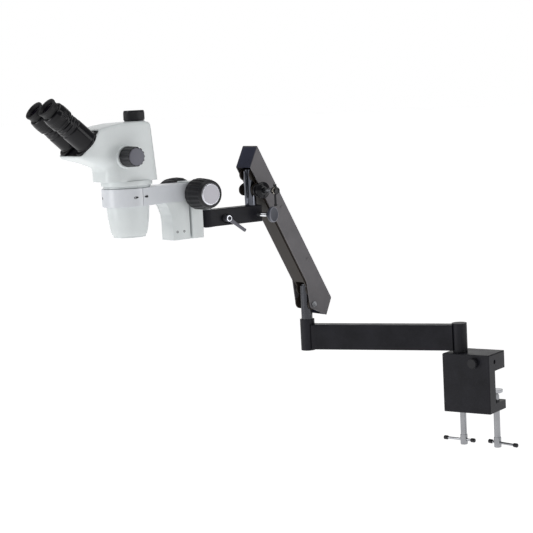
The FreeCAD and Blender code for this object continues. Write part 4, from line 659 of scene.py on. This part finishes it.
def column_and_housing():
    column = [(-116.9, -31.6), (-116.9, -101), (-80, -101), (-80, -68, 6), (-78.2, -55, 12),
              (-72.8, -40, 12), (-66, -31.6)]
    body = side_slab("focus_column_body", column, 19, "focus_carriage", WHITE,
                     ("focus_column",))
    socket = [(-118, -9.5), (-112.8, -12.2), (-112.8, 12.2), (-118, 9.5)]
    cut_with(body, cutter(socket, -110, -20, HEAD))
    for number, x in enumerate((-89.0, -103.5)):
        spot = inside(inside(HEAD, x, 19, -86), 0, 0, 0, -90, "X")
        screw_face("column_%d" % number, spot)
    housing = [(-145, -101), (-120.1, -101), (-120.1, 2), (-145, 2)]
    side_slab("focus_housing_body", housing, 21, "focus_mount", WHITE, ("focus_housing",),
              edge=1.2)
    guide = [(-120.3, -9.0), (-113.2, -11.9), (-113.2, 11.9), (-120.3, 9.0)]
    slab("dovetail_guide", guide, -101, -5, HEAD, "focus_mount", STEEL, edge=0.2)
    bracket = arc(-168.9, 0, 13, 90, 270, 24) + [(-144.8, -13), (-144.8, 13)]
    slab("mount_bracket", bracket, -49, -20, HEAD, "focus_mount", WHITE, edge=1.0, segments=3)


def focus_knobs():
    for side, turn in (("right", -90), ("left", 90)):
        place = inside(HEAD, FOCUS_X, 0, FOCUS_Z, turn, "X")
        outline = [(4.2, 23.2), (22, 23.2), (26.4, 25.0), (28.0, 28.5), (28.4, 38), (27.6, 50),
                   (26.4, 61), (25.6, 64.6), (24.2, 68.2), (22.2, 69.6), (20.2, 69.6), (19.7, 67.8),
                   (4.2, 67.8)]
        lathe("focus_grip_" + side, outline, place, "focus_knobs", PLASTIC,
              ("focus_knob_" + side,), closed=True, edge=0.9,
              grip=(27.0, 65.0, 20, 1.3, "flute", 24.0))
        disc = [(0, 67.9), (19.6, 67.9), (19.6, 69.0), (17.6, 70.0), (17.2, 70.0), (17.0, 69.7),
                (0, 69.7)]
        lathe("focus_disc_" + side, disc, place, "focus_knobs", GREY_DISC,
              ("focus_knob_discs",), edge=0.15, steps=96)
        rim = [(17.25, 69.6), (19.5, 68.2), (19.55, 69.05), (17.65, 70.02), (17.3, 70.02)]
        lathe("focus_disc_rim_" + side, rim, place, "focus_knobs", BRIGHT_RIM, edge=0.1,
              steps=96, closed=True)


# ------------------------------------------------------------------- small arm fittings
def clamp_lever():
    place = inside(SHORT, LEVER_X, 0, LEVER_Z, -90, "X")
    lathe("lever_hub_ring", [(3.5, 12.6), (6.4, 12.6), (6.4, 26.2), (5.6, 27.3), (4.1, 27.4),
                             (3.5, 26.6)], place, "lever", LEVER_GREY, ("clamp_lever",),
          closed=True, edge=0.4, steps=48)
    lathe("lever_hub_face", [(4.0, 27.0), (5.6, 27.0), (5.7, 27.5), (4.1, 27.6)], place, "lever",
          BRIGHT_RIM, closed=True, edge=0.15, steps=48)
    lathe("lever_bolt", [(0, -18), (2.9, -18), (2.9, 23.8), (3.5, 24.2), (3.5, 25.8), (1.7, 26.0),
                         (1.6, 24.4), (0, 24.4)], place, "lever", DARK_STEEL, edge=0.2, steps=36)
    lathe("lever_nut", [(2.9, -18.2), (5.5, -18.2), (5.5, -15.3), (2.9, -15.3)], place, "lever",
          STEEL, closed=True, edge=0.3, steps=6)
    drop = math.radians(LEVER_DROP)
    along = Vector((-math.cos(drop), math.sin(drop)))
    across = Vector((along.y, -along.x))
    corners = []
    for reach, half in ((5.2, -3.7), (20, -2.9), (45.5, -3.0), (45.5, 3.0), (20, 2.9), (5.2, 3.7)):
        point = along * reach + across * half
        corners.append((point.x, point.y, 6 if reach == 20 else 1.2))
    slab("lever_arm", corners, 20.6, 25.6, place, "lever", LEVER_GREY, edge=1.3, segments=3)


def swivel_knob():
    place = inside(inside(SHORT, 0, 0, SWIVEL_Z, SWIVEL_HEADING), 0, 0, 0, 90, "Y")
    lathe("swivel_screw", [(0, 11.2), (3.7, 11.2), (3.7, 38.5), (0, 38.5)], place, "swivel_knob",
          CHROME, ("swivel_knob",), edge=0.3, steps=36)
    lathe("swivel_neck", [(3.0, 37.6), (6.8, 37.6), (7.0, 44.6), (3.0, 44.6)], place,
          "swivel_knob", PLASTIC, closed=True, edge=0.5, steps=48)
    lathe("swivel_head", [(0, 44.2), (13.0, 44.2), (14.3, 45.6), (14.4, 49.6), (13.6, 50.9),
                          (12.6, 51.6), (12.0, 51.2), (0, 50.9)], place, "swivel_knob", SLATE,
          edge=0.5, steps=72)
    lathe("swivel_rim", [(12.3, 51.2), (13.4, 50.9), (14.0, 50.2), (14.1, 50.9), (13.3, 51.7),
                         (12.5, 51.9)], place, "swivel_knob", RIM_GREY, closed=True, edge=0.1,
          steps=72)


def lock_handle():
    turn = joint_axis("arm_lock_turn")
    place = axes(joint_point("arm_lock_turn") - turn * LOCK_STEP * MM, turn, UP)
    body = "lock_screw"
    lathe("lock_washer", [(0, 23.2), (11.3, 23.2), (11.3, 27), (5.8, 27.2), (5.8, 37), (0, 37)],
          place, body, PLASTIC, ("lock_handle",), edge=0.6, steps=64)
    lathe("lock_disc", [(5.0, 36.8), (14.4, 36.8), (15.4, 37.8), (15.4, 41.2), (14.4, 42.0),
                        (13.0, 42.3), (8.0, 44.9), (5.0, 44.9)], place, body, GLOSS, closed=True,
          edge=0.4, steps=72)
    lathe("lock_shaft", [(0, 44.6), (4.4, 44.6), (4.4, 71.4), (0, 71.4)], place, body, STEEL,
          edge=0.3, steps=40)
    lathe("lock_head", [(0, 71.2), (6.0, 71.2), (6.4, 71.8), (6.4, 74.4), (2.6, 74.4),
                        (2.6, 79.6), (6.4, 79.6), (6.4, 83.0), (5.4, 84.0), (0, 84.0)], place,
          body, GLOSS, edge=0.3, steps=48)
    lathe("lock_collar", [(4.6, 75.0), (6.2, 75.0), (6.2, 79.0), (4.6, 79.0)], place, body,
          BRASS_CHROME, closed=True, edge=0.4, steps=48)


def tommy_bars():
    for side, shift in (("left", -10), ("right", 13)):
        middle = joint_point("clamp_screw_%s_turn" % side)
        place = axes(Vector((middle.x, middle.y, BAR_LEVEL * MM)),
                     joint_axis("tommy_bar_%s_slide" % side), UP)
        body = "bar_" + side
        node = "tommy_bar_" + side
        lathe("steel_bar_" + side, [(0, shift - 33), (2.45, shift - 33), (2.45, shift + 33),
                                    (0, shift + 33)], place, body, DARK_CHROME, (node,), edge=0.3,
              steps=36)
        for end, start in (("a", shift - 34), ("b", shift + 25.5)):
            lathe("bar_cap_%s_%s" % (side, end), [(0, start), (3.2, start), (4.0, start + 1),
                                                  (4.0, start + 7.5), (3.2, start + 8.5),
                                                  (0, start + 8.5)], place, body, PLASTIC,
                  edge=0.5, steps=36)


# -------------------------------------------------------------------------------- stage
def stage():
    size = 60.0
    drop = -0.80
    mesh = bpy.data.meshes.new("floor")
    mesh.from_pydata([(-size, -size, drop), (size, -size, drop), (size, size, drop),
                      (-size, size, drop)], [], [(0, 1, 2, 3)])
    floor = bpy.data.objects.new("floor", mesh)
    bpy.context.scene.collection.objects.link(floor)
    mat, tree, shader, where = nodes_of("pale_floor")
    drift = noise(tree, where, 1.5, 2)
    tree.links.new(blend_colors(tree, drift, (0.93, 0.93, 0.93), (0.95, 0.95, 0.95)),
                   shader.inputs["Base Color"])
    shader.inputs["Roughness"].default_value = 0.73
    shader.inputs["Emission Color"].default_value = (1, 1, 1, 1)
    shader.inputs["Emission Strength"].default_value = 0.8
    mesh.materials.append(mat)


def lamp(name, place, target, width, height, power):
    light = bpy.data.lights.new(name, "AREA")
    light.shape = "RECTANGLE"
    light.size = width
    light.size_y = height
    light.energy = power
    item = bpy.data.objects.new(name, light)
    bpy.context.scene.collection.objects.link(item)
    item.location = place
    item.rotation_euler = (Vector(target) - Vector(place)).to_track_quat("-Z", "Y").to_euler()


def studio():
    middle = (-0.2, -0.25, 0.15)
    lamp("left_softbox", (-1.35, -1.75, 0.75), middle, 0.7, 1.7, 13)
    lamp("right_softbox", (1.5, 0.1, 0.75), middle, 0.6, 1.7, 7)
    lamp("top_softbox", (-0.1, -0.5, 1.9), middle, 1.6, 1.6, 13)
    world = bpy.data.worlds.new("studio")
    bpy.context.scene.world = world
    world.use_nodes = True
    tree = world.node_tree
    back = tree.nodes["Background"]
    back.inputs["Color"].default_value = (1, 1, 1, 1)
    view = tree.nodes.new("ShaderNodeTexCoord")
    wall = tree.nodes.new("ShaderNodeVectorMath")
    wall.operation = "DOT_PRODUCT"
    wall.inputs[1].default_value = (-0.565, 0.825, 0)
    tree.links.new(view.outputs["Generated"], wall.inputs[0])
    paper = tree.nodes.new("ShaderNodeMapRange")
    paper.inputs["From Min"].default_value = 0.86
    paper.inputs["From Max"].default_value = 0.95
    paper.inputs["To Min"].default_value = 0.22
    paper.inputs["To Max"].default_value = 1.0
    tree.links.new(wall.outputs["Value"], paper.inputs["Value"])
    tree.links.new(paper.outputs["Result"], back.inputs["Strength"])
    bpy.context.scene.view_settings.view_transform = "Standard"
    bpy.context.scene.view_settings.look = "None"


def camera():
    data = bpy.data.cameras.new("camera")
    data.sensor_width = 36
    data.lens = 108.07
    data.clip_end = 200
    item = bpy.data.objects.new("camera", data)
    bpy.context.scene.collection.objects.link(item)
    ahead = Vector((-0.5600, 0.8210, -0.1110)).normalized()
    right = ahead.cross(Vector((-0.0203, 0.1203, 0.9925))).normalized()
    top = right.cross(ahead)
    spot = Vector((1.3453, -2.6512, 0.5391))
    item.matrix_world = Matrix(((right.x, top.x, -ahead.x, spot.x),
                                (right.y, top.y, -ahead.y, spot.y),
                                (right.z, top.z, -ahead.z, spot.z), (0, 0, 0, 1)))
    bpy.context.scene.camera = item


dress_nodes()
stage()
studio()
camera()
head_shell()
face_plate()
lower_barrel()
zoom_knobs()
photo_cap()
eyepiece("right", 1)
eyepiece("left", -1)
ring_and_arm()
column_and_housing()
focus_knobs()
clamp_lever()
swivel_knob()
lock_handle()
tommy_bars()
